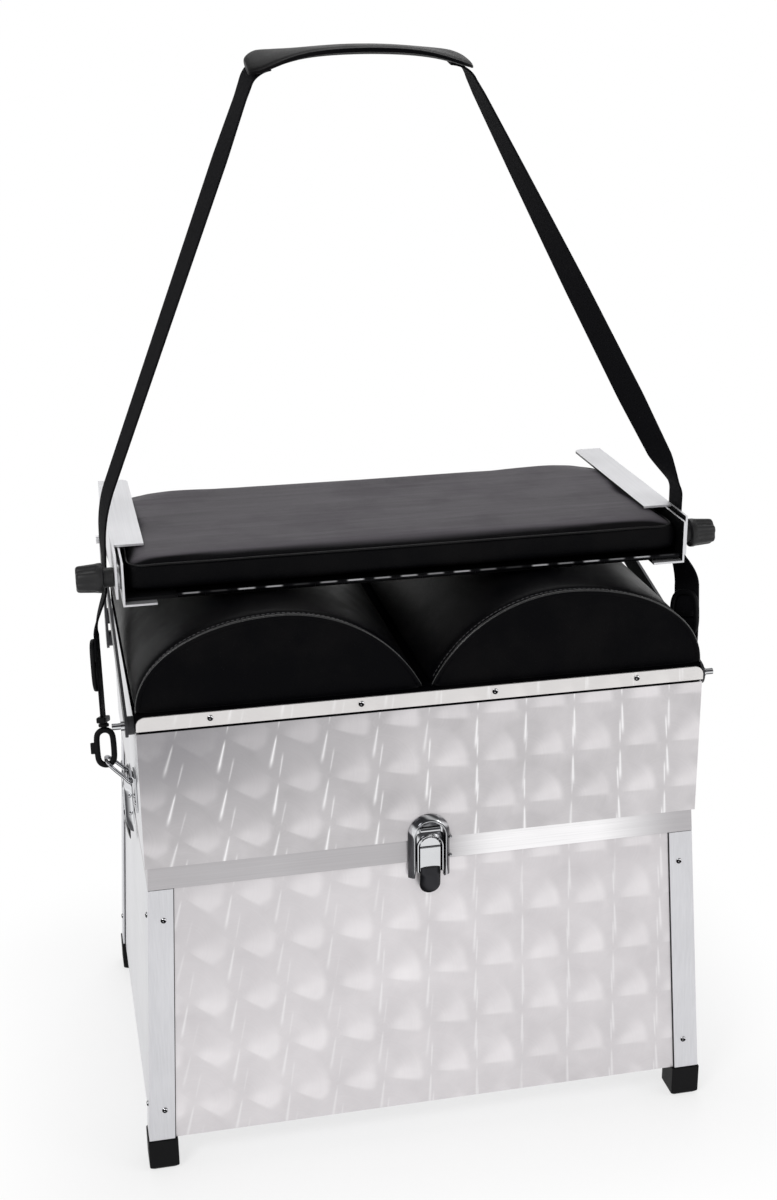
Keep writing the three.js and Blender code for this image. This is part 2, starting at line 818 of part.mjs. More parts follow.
function buildBaseBoard() {
  const shape = roundedOutline([-padX, padX], [padFront, padBack - baseBoardInset], [0, 0, padBackCorner, padBackCorner]);
  const board = new THREE.ExtrudeGeometry(shape, { depth: baseBoardHeight, bevelEnabled: false, curveSegments: 5 });
  add('backrest_base_board', board.translate(0, 0, baseBoardBottom), 'board');
}

function buildPadHinge() {
  const span = [padHingeLeftMargin - padX, padX - padHingeRightMargin];
  const leafEnd = padFront + padHingeLeaf;
  const leaf = (bottom) => block(span, [padHingeY, leafEnd], [bottom, bottom + padHingeSheet]);
  const knuckles = (odd) => knuckleSpans(span, padHingeKnuckles, odd);
  const barrels = (odd) => knuckles(odd)
    .map(([x0, x1]) => rod(padHingeRadius, x0, x1, padHingeY, padHingeZ, barrelSides));
  const clear = padHingeRadius + gap;
  const reliefs = (odd) => knuckles(odd).map(([x0, x1]) => block(
    [x0 - gap, x1 + gap], [padHingeY - clear, padHingeY + clear], [padHingeZ - clear, padHingeZ + clear],
  ));
  const bore = rod(
    padHingePinRadius + pivotClearance, span[0] - overrun, span[1] + overrun, padHingeY, padHingeZ, barrelSides,
  );
  const pin = rod(padHingePinRadius, span[0], span[1], padHingeY, padHingeZ, barrelSides);
  add('pad_hinge_upper', cut(join(leaf(upperLeafBottom), ...barrels(1)), bore, ...reliefs(0)), 'brushed');
  const lower = cut(join(leaf(lowerLeafBottom), ...barrels(0)), ...reliefs(1));
  add('pad_hinge_lower', join(lower, pin), 'brushed');
}

function buildInnerBracket(name, side) {
  const span = [innerPlateFront, innerPlateFront + innerPlateLength];
  const bottom = baseBoardBottom - gap - bracketSheet;
  const top = outerPlateTop - bracketSheet - gap;
  const plate = block([side * innerPlateX, side * (innerPlateX + bracketSheet)], span, [bottom, top]);
  const flange = block(
    [side * (innerPlateX + bracketSheet - innerFlange), side * (innerPlateX + bracketSheet)],
    span,
    [bottom, bottom + bracketSheet],
  );
  const hole = rod(
    knobBoltRadius + pivotClearance, side * padX, side * (armX + overrun), knobPlace, knobHeight,
  );
  add(`inner_bracket_${name}`, cut(join(plate, flange), hole), 'brushed');
}

// The outer bracket turns with the pad about the pad hinge, so its bolt hole is an arc slot
function buildOuterBracket(name, side) {
  const inner = side * outerPlateX;
  const outer = side * (outerPlateX + bracketSheet);
  const plate = block([inner, outer], [outerPlateFront, outerPlateBack], [outerPlateBottom, outerPlateTop]);
  const flangeEnd = side * (outerPlateX + bracketSheet - outerFlange);
  const flangeShape = roundedOutline(
    [Math.min(flangeEnd, outer), Math.max(flangeEnd, outer)],
    [outerFlangeFront, outerPlateBack],
    side > 0 ? [0, 0, 0, outerFlangeCorner] : [0, 0, outerFlangeCorner, 0],
  );
  const flange = new THREE.ExtrudeGeometry(flangeShape, { depth: bracketSheet, bevelEnabled: false, curveSegments: 5 });
  flange.translate(0, 0, outerPlateTop - bracketSheet);
  const arm = [knobPlace - padHingeY, knobHeight - padHingeZ];
  const reach = Math.hypot(...arm);
  const start = Math.atan2(arm[1], arm[0]);
  const radius = knobBoltRadius + pivotClearance;
  const slots = [0, 1 / 3, 2 / 3].map((share) => {
    const ends = [share, share + 1 / 3].map((place) => {
      const angle = start - place * tiltRange;
      return [padHingeY + reach * Math.cos(angle), padHingeZ + reach * Math.sin(angle)];
    });
    return sidePlate(slotOutline(ends[0], ends[1], radius), inner - side * overrun, outer + side * overrun, 8);
  });
  add(`outer_bracket_${name}`, cut(join(plate, flange), ...slots), 'brushed');
}

function buildArm(name, side) {
  const outline = slotOutline([pivotPlace, pivotHeight], [knobPlace, knobHeight], armWidth / 2);
  const plate = sidePlate(outline, side * armX, side * (armX + armSheet), 8);
  const hole = rod(
    knobBoltRadius + pivotClearance, side * (armX - overrun), side * (armX + armSheet + overrun), knobPlace, knobHeight,
  );
  const bracketOuter = lidX + bracketPlateOut + bracketPlateSheet;
  const pin = rod(studRadius, side * armX, side * (bracketOuter + gap), pivotPlace, pivotHeight);
  const head = rod(
    studHeadRadius, side * (bracketOuter + gap), side * (bracketOuter + gap + studHeadLength), pivotPlace, pivotHeight,
  );
  add(`backrest_arm_${name}`, join(cut(plate, hole), pin, head), 'brushed');
}

function buildKnob(name, side) {
  const boltStart = innerPlateX + gap / 2;
  const collarStart = outerPlateX + bracketSheet + gap;
  const headStart = collarStart + knobCollarLength;
  const headEnd = headStart + knobLength;
  const bolt = rod(knobBoltRadius, side * boltStart, side * (collarStart + overrun), knobPlace, knobHeight);
  const collar = rod(knobCollarRadius, side * collarStart, side * (headStart + overrun), knobPlace, knobHeight);
  const head = new THREE.CylinderGeometry(knobRadius, knobRadius - knobTaper, knobLength, roundSides);
  head.rotateZ((side * Math.PI) / 2).translate((side * (headStart + headEnd)) / 2, knobPlace, knobHeight);
  const fluteStart = headStart + knobLength * knobFluteFloorShare;
  const flutes = Array.from({ length: knobFlutes }, (_, place) => {
    const angle = (2 * Math.PI * place) / knobFlutes;
    const away = knobRadius + knobFluteRadius - knobFluteDepth;
    return rod(
      knobFluteRadius,
      side * fluteStart,
      side * (headEnd + overrun),
      knobPlace + away * Math.cos(angle),
      knobHeight + away * Math.sin(angle),
      barrelSides,
    );
  });
  add(`knob_${name}`, join(bolt, collar, cut(head, ...flutes)), 'plastic');
}

// Side bracket: an inclined rail and an upright, flat on spacer bosses beside the lid

const railFrontPlace = pivotInset - lidY;
const railFrontHeight = lidTop - railFrontDrop;
const uprightFoot = lidTop - uprightDrop;

function buildSideBracket(name, side) {
  const inner = lidX + bracketPlateOut;
  const outer = inner + bracketPlateSheet;
  const half = railWidth / 2;
  const rail = sidePlate(
    slotOutline([railFrontPlace, railFrontHeight], [pivotPlace, pivotHeight], half), side * inner, side * outer, 8,
  );
  const upright = sidePlate(
    slotOutline([pivotPlace, uprightFoot], [pivotPlace, pivotHeight], half), side * inner, side * outer, 8,
  );
  const boss = (y, z, start) => rod(bracketBossRadius, side * start, side * (inner + gap), y, z);
  const wallStart = lidX + gap;
  const bosses = [
    boss(railFrontPlace, railFrontHeight, wallStart),
    boss(pivotPlace, uprightFoot, wallStart),
    boss(pivotPlace, lidTop - half, wallStart),
    boss(pivotPlace, pivotHeight, armX + armSheet + gap),
  ];
  const bore = (y, z) => rod(studRadius + pivotClearance, side * (lidX - overrun), side * (outer + overrun), y, z);
  const bracket = join(rail, upright, ...bosses);
  add(
    `side_bracket_${name}`,
    cut(bracket, bore(railFrontPlace, railFrontHeight), bore(pivotPlace, pivotHeight)),
    'brushed',
  );
  const studStart = lidX + gap;
  const stud = rod(studRadius, side * studStart, side * (studStart + studLength), railFrontPlace, railFrontHeight);
  const collar = rod(
    studHeadRadius, side * (outer + gap), side * (outer + gap + studHeadLength), railFrontPlace, railFrontHeight,
  );
  add(`rail_stud_${name}`, join(stud, collar), 'chrome');
}

// Carrying strap. Each leg has a straight lower run that leans and is turned; it holds the
// slider and ends in the hook. The pieces are drawn for the right side and mirrored.

const upward = new THREE.Vector3(0, 0, 1);
const strapOut = outerPlateX + bracketSheet + strapStand;
const strapPlace = knobPlace + strapBehindKnob;
const strapBend = outerPlateTop + strapBendRise;
const strapTop = strapBend + strapRise;
const runOut = lidX + bracketPlateOut + bracketPlateSheet + runStand;
const runPlace = strapPlace - runLead;
const runHeight = outerPlateBottom - runDrop;
const runDirection = new THREE.Vector3(0, Math.sin(runLean), Math.cos(runLean));

function sided(geometry, side) {
  return side > 0 ? geometry : outward(bare(geometry.applyMatrix4(new THREE.Matrix4().makeScale(-1, 1, 1))));
}

function runPoint(drop) {
  return new THREE.Vector3(runOut, runPlace, runHeight).addScaledVector(runDirection, -drop);
}

// The width, the face and the length of the webbing where it runs along a direction
function strapBasis(direction, turn) {
  const across = new THREE.Vector3(Math.sin(turn), -Math.cos(turn), 0);
  across.addScaledVector(direction, -across.dot(direction)).normalize();
  const face = direction.clone().cross(across).normalize();
  return [across, face, direction];
}

function onRun(geometry, drop) {
  const place = new THREE.Matrix4().makeBasis(...strapBasis(runDirection, runTurn));
  return geometry.applyMatrix4(place.setPosition(runPoint(drop)));
}

const linkDrop = eyeDrop + eyeThickness + hookNeck + hookHalfHeight;
const ringTopDrop = linkDrop + hookHalfHeight - 2 * hookTubeRadius - ringWire - gap;
const ringTop = runPoint(ringTopDrop);
const ringPlateX = lidX + gap;
const ringBarX = ringPlateX + ringPlateSheet + ringSleeveRadius - gap;
const ringRise = (ringTop.x - ringBarX) / Math.sin(ringLean);
const ringBar = new THREE.Vector3(ringBarX, ringTop.y, ringTop.z - ringRise * Math.cos(ringLean));

function buildRing(name, side) {
  const plate = block(
    [ringPlateX, ringPlateX + ringPlateSheet],
    [ringBar.y - ringPlateWidth / 2, ringBar.y + ringPlateWidth / 2],
    [ringBar.z - ringPlateHeight, ringBar.z + ringSleeveRadius],
  );
  const alongBar = (radius, width) => new THREE.CylinderGeometry(radius, radius, width, roundSides)
    .translate(ringBar.x, ringBar.y, ringBar.z);
  const sleeve = alongBar(ringSleeveRadius, ringSleeveWidth);
  const bore = alongBar(ringWire + pivotClearance, ringPlateWidth + overrun);
  add(`ring_plate_${name}`, sided(cut(join(plate, sleeve), bore), side), 'chrome');

  const up = new THREE.Vector3(Math.sin(ringLean), 0, Math.cos(ringLean));
  const along = new THREE.Vector3(0, 1, 0);
  const half = ringWidth / 2 - ringWire;
  const shoulder = ringRise * 0.3;
  const rightHalf = [[half, 0], [half, shoulder], [half * 0.85, ringRise * 0.8], [half * 0.4, ringRise]];
  const leftHalf = rightHalf.map(([u, v]) => [-u, v]).reverse();
  const corners = [...rightHalf, ...leftHalf];
  const centres = corners.map(([u, v]) => ringBar.clone().addScaledVector(along, u).addScaledVector(up, v));
  const wire = closedWire(centres, up.clone().cross(along).normalize(), ringWire);
  add(`ring_${name}`, sided(wire, side), 'chrome');
}

function buildHook(name, side) {
  const centre = runPoint(linkDrop);
  const straight = hookHalfHeight - hookHalfWidth;
  const bend = hookHalfWidth - hookTubeRadius;
  const across = new THREE.Vector3(1, 0, 0);
  const steps = 20;
  const centres = Array.from({ length: steps }, (_, place) => {
    const angle = (2 * Math.PI * (place + 1 / 2)) / steps;
    const rise = Math.sign(Math.sin(angle)) * straight + bend * Math.sin(angle);
    return centre.clone()
      .addScaledVector(across, bend * Math.cos(angle))
      .addScaledVector(runDirection, rise);
  });
  const link = closedWire(centres, runDirection.clone().cross(across), hookTubeRadius);
  const neck = new THREE.CylinderGeometry(hookTubeRadius, hookTubeRadius, 2 * hookNeck, roundSides / 2);
  neck.rotateX(Math.PI / 2).translate(0, 0, -eyeThickness - hookNeck / 2);
  const eye = block([-eyeWidth / 2, eyeWidth / 2], [-eyeDepth / 2, eyeDepth / 2], [-eyeThickness, 0]);
  const slot = block(
    [-strapWidth / 2 - gap, strapWidth / 2 + gap],
    [-strapSheet / 2 - gap, strapSheet / 2 + gap],
    [-eyeThickness / 2, overrun],
  );
  const head = onRun(cut(join(eye, neck), slot), eyeDrop);
  add(`snap_hook_${name}`, sided(join(link, head), side), 'plastic');
}

// The route of the webbing: up the turned run, over to the outside of the brackets, straight up
// beside them and then in a line to the end of the shoulder pad
function strapRoute(archShare) {
  const start = runPoint(eyeDrop + eyeThickness / 2 - gap);
  const end = runPoint(0);
  const beside = new THREE.Vector3(strapOut, strapPlace, outerPlateBottom);
  const corner = new THREE.Vector3(strapOut, strapPlace, strapBend);
  const top = new THREE.Vector3(archShare * strapOut, strapPlace, strapTop);
  const rounding = strapBend - outerPlateTop;
  const below = corner.clone().addScaledVector(upward, -rounding);
  const toTop = top.clone().sub(corner).normalize();
  const after = corner.clone().addScaledVector(toTop, rounding);
  const reach = (outerPlateBottom - runHeight) / 3;
  const over = new THREE.CubicBezierCurve3(
    end,
    end.clone().addScaledVector(runDirection, reach),
    beside.clone().addScaledVector(upward, -reach),
    beside,
  );
  return [
    [new THREE.LineCurve3(start, end), 2, () => 1],
    [over, 10, (share) => (1 + Math.cos(Math.PI * share)) / 2],
    [new THREE.LineCurve3(beside, below), 2, () => 0],
    [new THREE.QuadraticBezierCurve3(below, corner, after), 6, () => 0],
    [new THREE.LineCurve3(after, top), 4, () => 0],
  ];
}

function buildWebbing(name, side) {
  const route = strapRoute(side < 0 ? leftArchShare : rightArchShare);
  const rings = route.flatMap(([curve, steps, turnShare], leg) => {
    const last = leg === route.length - 1;
    return Array.from({ length: last ? steps + 1 : steps }, (_, place) => {
      const share = place / steps;
      const centre = curve.getPoint(share);
      const [across, face] = strapBasis(curve.getTangent(share), runTurn * turnShare(share));
      return [[-1, -1], [1, -1], [1, 1], [-1, 1]].map(([u, v]) => centre.clone()
        .addScaledVector(across, (u * strapWidth) / 2)
        .addScaledVector(face, (v * strapSheet) / 2));
    });
  });
  add(`webbing_${name}`, sided(loft(rings), side), 'webbing');
}

function buildSlider(name, side) {
  const corner = sliderWidth * sliderCornerShare;
  const outline = roundedOutline(
    [-sliderWidth / 2, sliderWidth / 2], [-sliderLength / 2, sliderLength / 2], [corner, corner, corner, corner],
  );
  const back = -strapSheet / 2 - gap;
  const plate = frontPlate(outline, back, back - sliderSheet, 4);
  const windowHalf = sliderWidth / 2 - sliderBar;
  const windowEnd = sliderLength / 2 - sliderBar - corner / 4;
  const windows = [-1, 1].map((level) => block(
    [-windowHalf, windowHalf],
    [back - sliderSheet - overrun, back + overrun],
    [(level * sliderBar) / 2, level * windowEnd],
  ));
  add(`slider_${name}`, sided(onRun(cut(plate, ...windows), sliderDrop), side), 'plastic');
}

// The shoulder pad bridges the two ends of the webbing in a shallow arch
function buildShoulderPad() {
  const left = -leftArchShare * strapOut - strapSheet;
  const right = rightArchShare * strapOut + strapSheet;
  const outline = [[-1, 0], [-0.92, -1], [0, -1], [0.92, -1], [1, 0], [0.92, 0.8], [0, 1], [-0.92, 0.8]];
  const rings = Array.from({ length: shoulderSteps + 1 }, (_, place) => {
    const share = place / shoulderSteps;
    const bow = 1 - (2 * share - 1) ** 2;
    const taper = Math.min(Math.sqrt(bow) + strapWidth / shoulderWidth, 1);
    const halfY = (taper * shoulderWidth) / 2;
    const halfZ = (shoulderHeight / 2) * THREE.MathUtils.lerp(0.7, 1, bow);
    const x = THREE.MathUtils.lerp(left, right, share);
    const z = strapTop + strapSheet / 2 + halfZ + shoulderArch * bow;
    return outline.map(([u, v]) => new THREE.Vector3(x, strapPlace + u * halfY, z + v * halfZ));
  });
  add('shoulder_pad', loft(rings), 'leatherette');
}

buildLowerBox();
for (const [sideY, depthName] of [[-1, 'front'], [1, 'rear']]) {
  for (const [sideX, widthName] of [[-1, 'left'], [1, 'right']]) {
    buildPost(`${depthName}_${widthName}`, sideX, sideY);
    buildFoot(`${depthName}_${widthName}`, sideX, sideY);
  }
}
buildLid();
buildSeat();
buildLidHinge();
const frontSlope = frontFlare / (lowerTop - footHeight);
const sideSlope = sideFlare / (lowerTop - footHeight);
buildLatch('front', 0, -lidY, 0, frontSlope);
buildLatch('left', -lidX, sideLatchPlace, -Math.PI / 2, sideSlope);
buildLatch('right', lidX, sideLatchPlace, Math.PI / 2, sideSlope);
buildPad();
buildBaseBoard();
buildPadHinge();
for (const [side, name] of [[-1, 'left'], [1, 'right']]) {
  buildRoll(`seat_roll_${name}`, side);
  buildInnerBracket(name, side);
  buildOuterBracket(name, side);
  buildArm(name, side);
  buildKnob(name, side);
  buildSideBracket(name, side);
  buildRing(name, side);
  buildHook(name, side);
  buildWebbing(name, side);
  buildSlider(name, side);
}
buildShoulderPad();

export default part;
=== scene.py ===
"""Fishing seat box: detailed pieces, finishes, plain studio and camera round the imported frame."""
import logging
import math
from dataclasses import dataclass, field, replace
from enum import Enum
from typing import Callable, Dict, List, Optional, Sequence, Tuple, Union

import bpy
import numpy as np
from mathutils import Matrix, Vector


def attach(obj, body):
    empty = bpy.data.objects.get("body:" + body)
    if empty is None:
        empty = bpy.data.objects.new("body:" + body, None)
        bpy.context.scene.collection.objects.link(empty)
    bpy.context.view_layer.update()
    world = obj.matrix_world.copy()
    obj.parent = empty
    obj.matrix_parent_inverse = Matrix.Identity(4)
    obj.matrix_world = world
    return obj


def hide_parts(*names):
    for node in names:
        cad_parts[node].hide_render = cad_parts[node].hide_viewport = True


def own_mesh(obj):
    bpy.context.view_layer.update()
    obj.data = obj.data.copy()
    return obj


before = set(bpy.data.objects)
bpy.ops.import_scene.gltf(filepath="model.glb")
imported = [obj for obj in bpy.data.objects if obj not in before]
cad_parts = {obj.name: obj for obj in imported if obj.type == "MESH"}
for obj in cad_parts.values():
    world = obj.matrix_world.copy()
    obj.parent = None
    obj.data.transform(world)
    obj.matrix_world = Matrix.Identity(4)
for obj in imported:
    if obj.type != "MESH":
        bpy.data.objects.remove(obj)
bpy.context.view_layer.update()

MM = 0.001
LOG = logging.getLogger("seat_box")

Pair = Tuple[float, float]
Triple = Tuple[float, float, float]
Feed = Union[float, Sequence[float], bpy.types.NodeSocket]


class Side(Enum):
    """The left and the right of the box, with the sign of X."""

    LEFT = -1
    RIGHT = 1

    @property
    def word(self) -> str:
        """The side's name in lower case."""
        return self.name.lower()


class Along(Enum):
    """The direction in which brushed lines run."""

    ACROSS = (10.0, 10.0, 900.0)
    UPRIGHT = (700.0, 700.0, 8.0)
    FORWARD = (900.0, 10.0, 900.0)


SIDES = tuple(side.word for side in Side)
CORNERS = tuple(f"{end}_{word}" for end in ("front", "rear") for word in SIDES)
QUARTERS = tuple((sx, sy) for sx in (-1, 1) for sy in (-1, 1))


# ---------------------------------------------------------------- surfaces


@dataclass
class Surface:
    """A surface worked out as arrays.

    Attributes:
        points: one row of X, Y and Z in metres for each vertex.
        faces: vertex numbers of each face.
        uv: one row of U and V for each vertex, where the finish follows the surface.
    """

    points: np.ndarray
    faces: List[List[int]]
    uv: Optional[np.ndarray] = None

    def outward(self) -> "Surface":
        """The same closed surface with every face pointing out.

        The enclosed volume is the sum of a . (b x c) / 6 over the triangles a, b, c of each
        face. If it is negative, every face is turned round.

        Returns:
            This surface.
        """
        total = 0.0
        longest = max(len(face) for face in self.faces)
        for step in range(1, longest - 1):
            fans = [(face[0], *face[step:step + 2]) for face in self.faces if face[step + 1:]]
            a, b, c = (self.points[corner] for corner in np.array(fans).T)
            total += float(np.einsum("ij,ij->", a, np.cross(b, c)))
        if total < 0:
            self.faces = [face[::-1] for face in self.faces]
        return self

    def moved(self, matrix: Matrix) -> "Surface":
        """The surface taken through a matrix.

        Args:
            matrix: a turn and a move without scaling.

        Returns:
            A new surface.
        """
        turn = np.array(matrix.to_3x3())
        place = np.array(matrix.to_translation())
        return Surface(self.points @ turn.T + place, self.faces, self.uv)

    def mirrored(self, side: Side) -> "Surface":
        """The surface drawn for the right side, mirrored in X for the left one.

        Args:
            side: the side that it is wanted for.

        Returns:
            A new surface with its faces pointing out.
        """
        if side is Side.RIGHT:
            return self
        points = self.points * np.array([-1.0, 1.0, 1.0])
        return Surface(points, [face[::-1] for face in self.faces], self.uv)


def joined(parts: Sequence[Surface]) -> Surface:
    """Several surfaces as one.

    Args:
        parts: the surfaces.

    Returns:
        One surface that holds them all, not merged.
    """
    starts = np.cumsum([0] + [len(part.points) for part in parts])
    faces = [
        [int(start) + number for number in face]
        for part, start in zip(parts, starts)
        for face in part.faces
    ]
    points = np.concatenate([part.points for part in parts])
    uv = None
    if all(part.uv is not None for part in parts):
        uv = np.concatenate([part.uv for part in parts])
    return Surface(points, faces, uv)


def skin(rings: np.ndarray, closed: bool = False, uv: Optional[np.ndarray] = None) -> Surface:
    """A closed skin over rings of points, P(i, j) for ring i and place j round it.

    Each face joins (i, j), (i, j+1), (i+1, j+1), (i+1, j), with j taken round the ring. The two
    ends are closed by a fan to the ring's mean, unless the last ring meets the first.

    Args:
        rings: array of rings by places by 3, in metres.
        closed: whether the last ring joins the first.
        uv: array of rings by places by 2.

    Returns:
        The closed surface, facing out.
    """
    rows, places = rings.shape[:2]
    index = np.arange(rows * places).reshape(rows, places)
    after = np.roll(index, -1, axis=1)
    ahead = [np.roll(numbers, -1, axis=0) for numbers in (after, index)]
    quads = np.stack([index, after, *ahead], axis=-1)
    quads = (quads if closed else quads[:-1]).reshape(-1, 4)
    points = rings.reshape(-1, 3)
    flat_uv = None if uv is None else uv.reshape(-1, 2)
    faces = quads.tolist()
    if not closed:
        poles = np.stack([rings[0].mean(axis=0), rings[-1].mean(axis=0)])
        low = np.stack([np.full(places, len(points)), after[0], index[0]], axis=-1)
        high = np.stack([np.full(places, len(points) + 1), index[-1], after[-1]], axis=-1)
        faces += low.tolist() + high.tolist()
        points = np.concatenate([points, poles])
        if flat_uv is not None:
            ends = np.stack([uv[0].mean(axis=0), uv[-1].mean(axis=0)])
            flat_uv = np.concatenate([flat_uv, ends])
    return Surface(points, faces, flat_uv).outward()


def lathe(profile: Sequence[Pair], centre: Triple, axis: Triple, sides: int = 20) -> Surface:
    """A turned shape: P(h, a) = centre + h * axis + r(h) * (cos a * u + sin a * v).

    Args:
        profile: height along the axis and radius of each ring, in millimetres.
        centre: the foot of the shape, in millimetres.
        axis: direction of the axis.
        sides: number of places round each ring.

    Returns:
        The closed surface.
    """
    height, radius = np.array(profile, float).T
    direction = unit(np.array(axis, float))
    helper = np.array([0.0, 0.0, 1.0]) if abs(direction[2]) < 0.9 else np.array([1.0, 0.0, 0.0])
    u = unit(np.cross(direction, helper))
    v = np.cross(direction, u)
    angle = np.linspace(0, 2 * np.pi, sides, endpoint=False)
    spoke = np.cos(angle)[:, None] * u + np.sin(angle)[:, None] * v
    rings = np.array(centre) + height[:, None, None] * direction + radius[:, None, None] * spoke
    return skin(rings * MM)


def unit(vectors: np.ndarray) -> np.ndarray:
    """The vectors brought to length 1, along the last axis."""
    return vectors / np.linalg.norm(vectors, axis=-1, keepdims=True)


def run_along(points: np.ndarray) -> np.ndarray:
    """The length of a chain of points from its first point to each of them."""
    return np.concatenate([[0.0], np.cumsum(np.linalg.norm(np.diff(points, axis=0), axis=1))])


def at_stops(points: np.ndarray, run: np.ndarray, stops: np.ndarray) -> np.ndarray:
    """The places on a flat chain of points at the given lengths along it."""
    return np.stack([np.interp(stops, run, points[:, axis]) for axis in (0, 1)], axis=-1)


def pulled_curve(handles: Sequence[np.ndarray], steps: int) -> np.ndarray:
    """A curve from its handles h(k): P(t) = sum over k of C(n, k) (1 - t)^(n - k) t^k h(k).

    Args:
        handles: the first point, the points that pull the curve, and the last point.
        steps: number of points on the curve.

    Returns:
        The curve's points.
    """
    t = np.linspace(0, 1, steps)[:, None]
    n = len(handles) - 1
    return sum(math.comb(n, k) * (1 - t) ** (n - k) * t**k * h for k, h in enumerate(handles))


def swept(
    path: np.ndarray, across: Union[Triple, np.ndarray], section: np.ndarray, closed: bool = False
) -> Surface:
    """A section carried along a path: P(s, t) = path(s) + a(t) across(s) + b(t) face(s).

    face(s) is the path's tangent crossed with across(s).

    Args:
        path: points of the centreline, in millimetres.
        across: the direction of the section's first axis, for the whole path or at each point.
        section: the section's two coordinates at each place, in millimetres.
        closed: whether the path meets itself.

    Returns:
        The closed surface, with U round the section and V along the path, in metres.
    """
    if closed:
        tangent = unit(np.roll(path, -1, axis=0) - np.roll(path, 1, axis=0))
    else:
        tangent = unit(np.gradient(path, axis=0))
    across = np.broadcast_to(across, path.shape)
    flat = unit(across - np.sum(across * tangent, axis=1, keepdims=True) * tangent)
    face = np.cross(tangent, flat)
    rings = (
        path[:, None, :]
        + section[None, :, 0, None] * flat[:, None, :]
        + section[None, :, 1, None] * face[:, None, :]
    )
    uv = np.stack(np.broadcast_arrays(section[None, :, 0], run_along(path)[:, None]), axis=-1)
    return skin(rings * MM, closed, uv * MM)


def oval(half_width: float, half_height: float, power: float, places: int = 24) -> np.ndarray:
    """A rounded rectangle (a, b) = (w |cos t|^(2/p) sign cos t, h |sin t|^(2/p) sign sin t).

    Args:
        half_width: w, in millimetres.
        half_height: h, in millimetres.
        power: p, 2 for an ellipse and more for squarer corners.
        places: number of points round it.

    Returns:
        Array of places by 2.
    """
    t = np.linspace(0, 2 * np.pi, places, endpoint=False) + np.pi / places
    c, s = np.cos(t), np.sin(t)
    return np.stack([
        half_width * np.sign(c) * np.abs(c) ** (2 / power),
        half_height * np.sign(s) * np.abs(s) ** (2 / power),
    ], axis=-1)


def rounded_block(centre: Triple, half: Triple, edge: float, places: int = 32) -> Surface:
    """A block with soft edges, lofted along Z: its outline shrinks by e (1 - sin q) near both ends.

    Args:
        centre: middle of the block, in millimetres.
        half: half its size along X, Y and Z, in millimetres.
        edge: e, the radius of its edges, in millimetres.
        places: number of points round it.

    Returns:
        The closed surface.
    """
    quarter = np.linspace(0, np.pi / 2, 4)
    low = -half[2] + edge * (1 - np.cos(quarter))
    levels = np.concatenate([low, -low[::-1]])
    soft = edge * (1 - np.sin(quarter))
    inset = np.concatenate([soft, soft[::-1]])
    outline = oval(1, 1, 7, places)
    rings = np.stack([
        centre[0] + (half[0] - inset[:, None]) * outline[None, :, 0],
        centre[1] + (half[1] - inset[:, None]) * outline[None, :, 1],
        np.broadcast_to(centre[2] + levels[:, None], (len(levels), places)),
    ], axis=-1)
    return skin(rings * MM)


def smooth_loop(corners: np.ndarray, steps: int = 8) -> np.ndarray:
    """A closed curve through corners p(k): the cubic with tangents (p(k+1) - p(k-1)) / 2.

    Args:
        corners: array of corners by 3.
        steps: number of points for each corner.

    Returns:
        The curve's points.
    """
    before, after = np.roll(corners, 1, axis=0), np.roll(corners, -1, axis=0)
    beyond = np.roll(corners, -2, axis=0)
    t = np.linspace(0, 1, steps, endpoint=False)[None, :, None]
    p0, p1, p2, p3 = (array[:, None, :] for array in (before, corners, after, beyond))
    curve = 0.5 * (
        2 * p1 + (p2 - p0) * t + (2 * p0 - 5 * p1 + 4 * p2 - p3) * t**2
        + (3 * p1 - p0 - 3 * p2 + p3) * t**3
    )
    return curve.reshape(-1, 3)


def placed(name: str, data: bpy.types.ID) -> bpy.types.Object:
    """A new object of the scene that shows a mesh, a lamp or a camera."""
    piece = bpy.data.objects.new(name, data)
    bpy.context.scene.collection.objects.link(piece)
    return piece


def meshed(name: str, surface: Surface) -> bpy.types.Mesh:
    """A new mesh with a surface's points and faces."""
    mesh = bpy.data.meshes.new(name)
    mesh.from_pydata(surface.points.tolist(), [], surface.faces)
    return mesh


def build(
    name: str,
    surface: Surface,
    finish: "Finish",
    body: str,
    sharp: float = 180.0,
    subdivide: int = 0,
) -> bpy.types.Object:
    """Makes a surface an object of the scene that rides on a body.

    Args:
        name: the piece's name.
        surface: its surface, in metres.
        finish: its finish.
        body: the body it rides on.
        sharp: edges that turn by more than this many degrees stay sharp, at 180 none.
        subdivide: levels of a subdivision surface.

    Returns:
        The object, at the origin.
    """
    mesh = meshed(name, surface)
    mesh.polygons.foreach_set("use_smooth", np.ones(len(mesh.polygons), bool))
    if surface.uv is not None:
        layer = mesh.uv_layers.new(name="along")
        corner = np.zeros(len(mesh.loops), np.int32)
        mesh.loops.foreach_get("vertex_index", corner)
        layer.data.foreach_set("uv", surface.uv[corner].astype(np.float32).ravel())
    if sharp < 180:
        mesh.set_sharp_from_angle(angle=math.radians(sharp))
    mesh.update()
    piece = placed(name, mesh)
    mesh.materials.append(finish.material())
    if subdivide:
        modifier = piece.modifiers.new("smooth", "SUBSURF")
        modifier.levels = modifier.render_levels = subdivide
    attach(piece, body)
    LOG.info("%s: %d points on %s", name, len(surface.points), body)
    return piece


# ---------------------------------------------------------------- node graphs


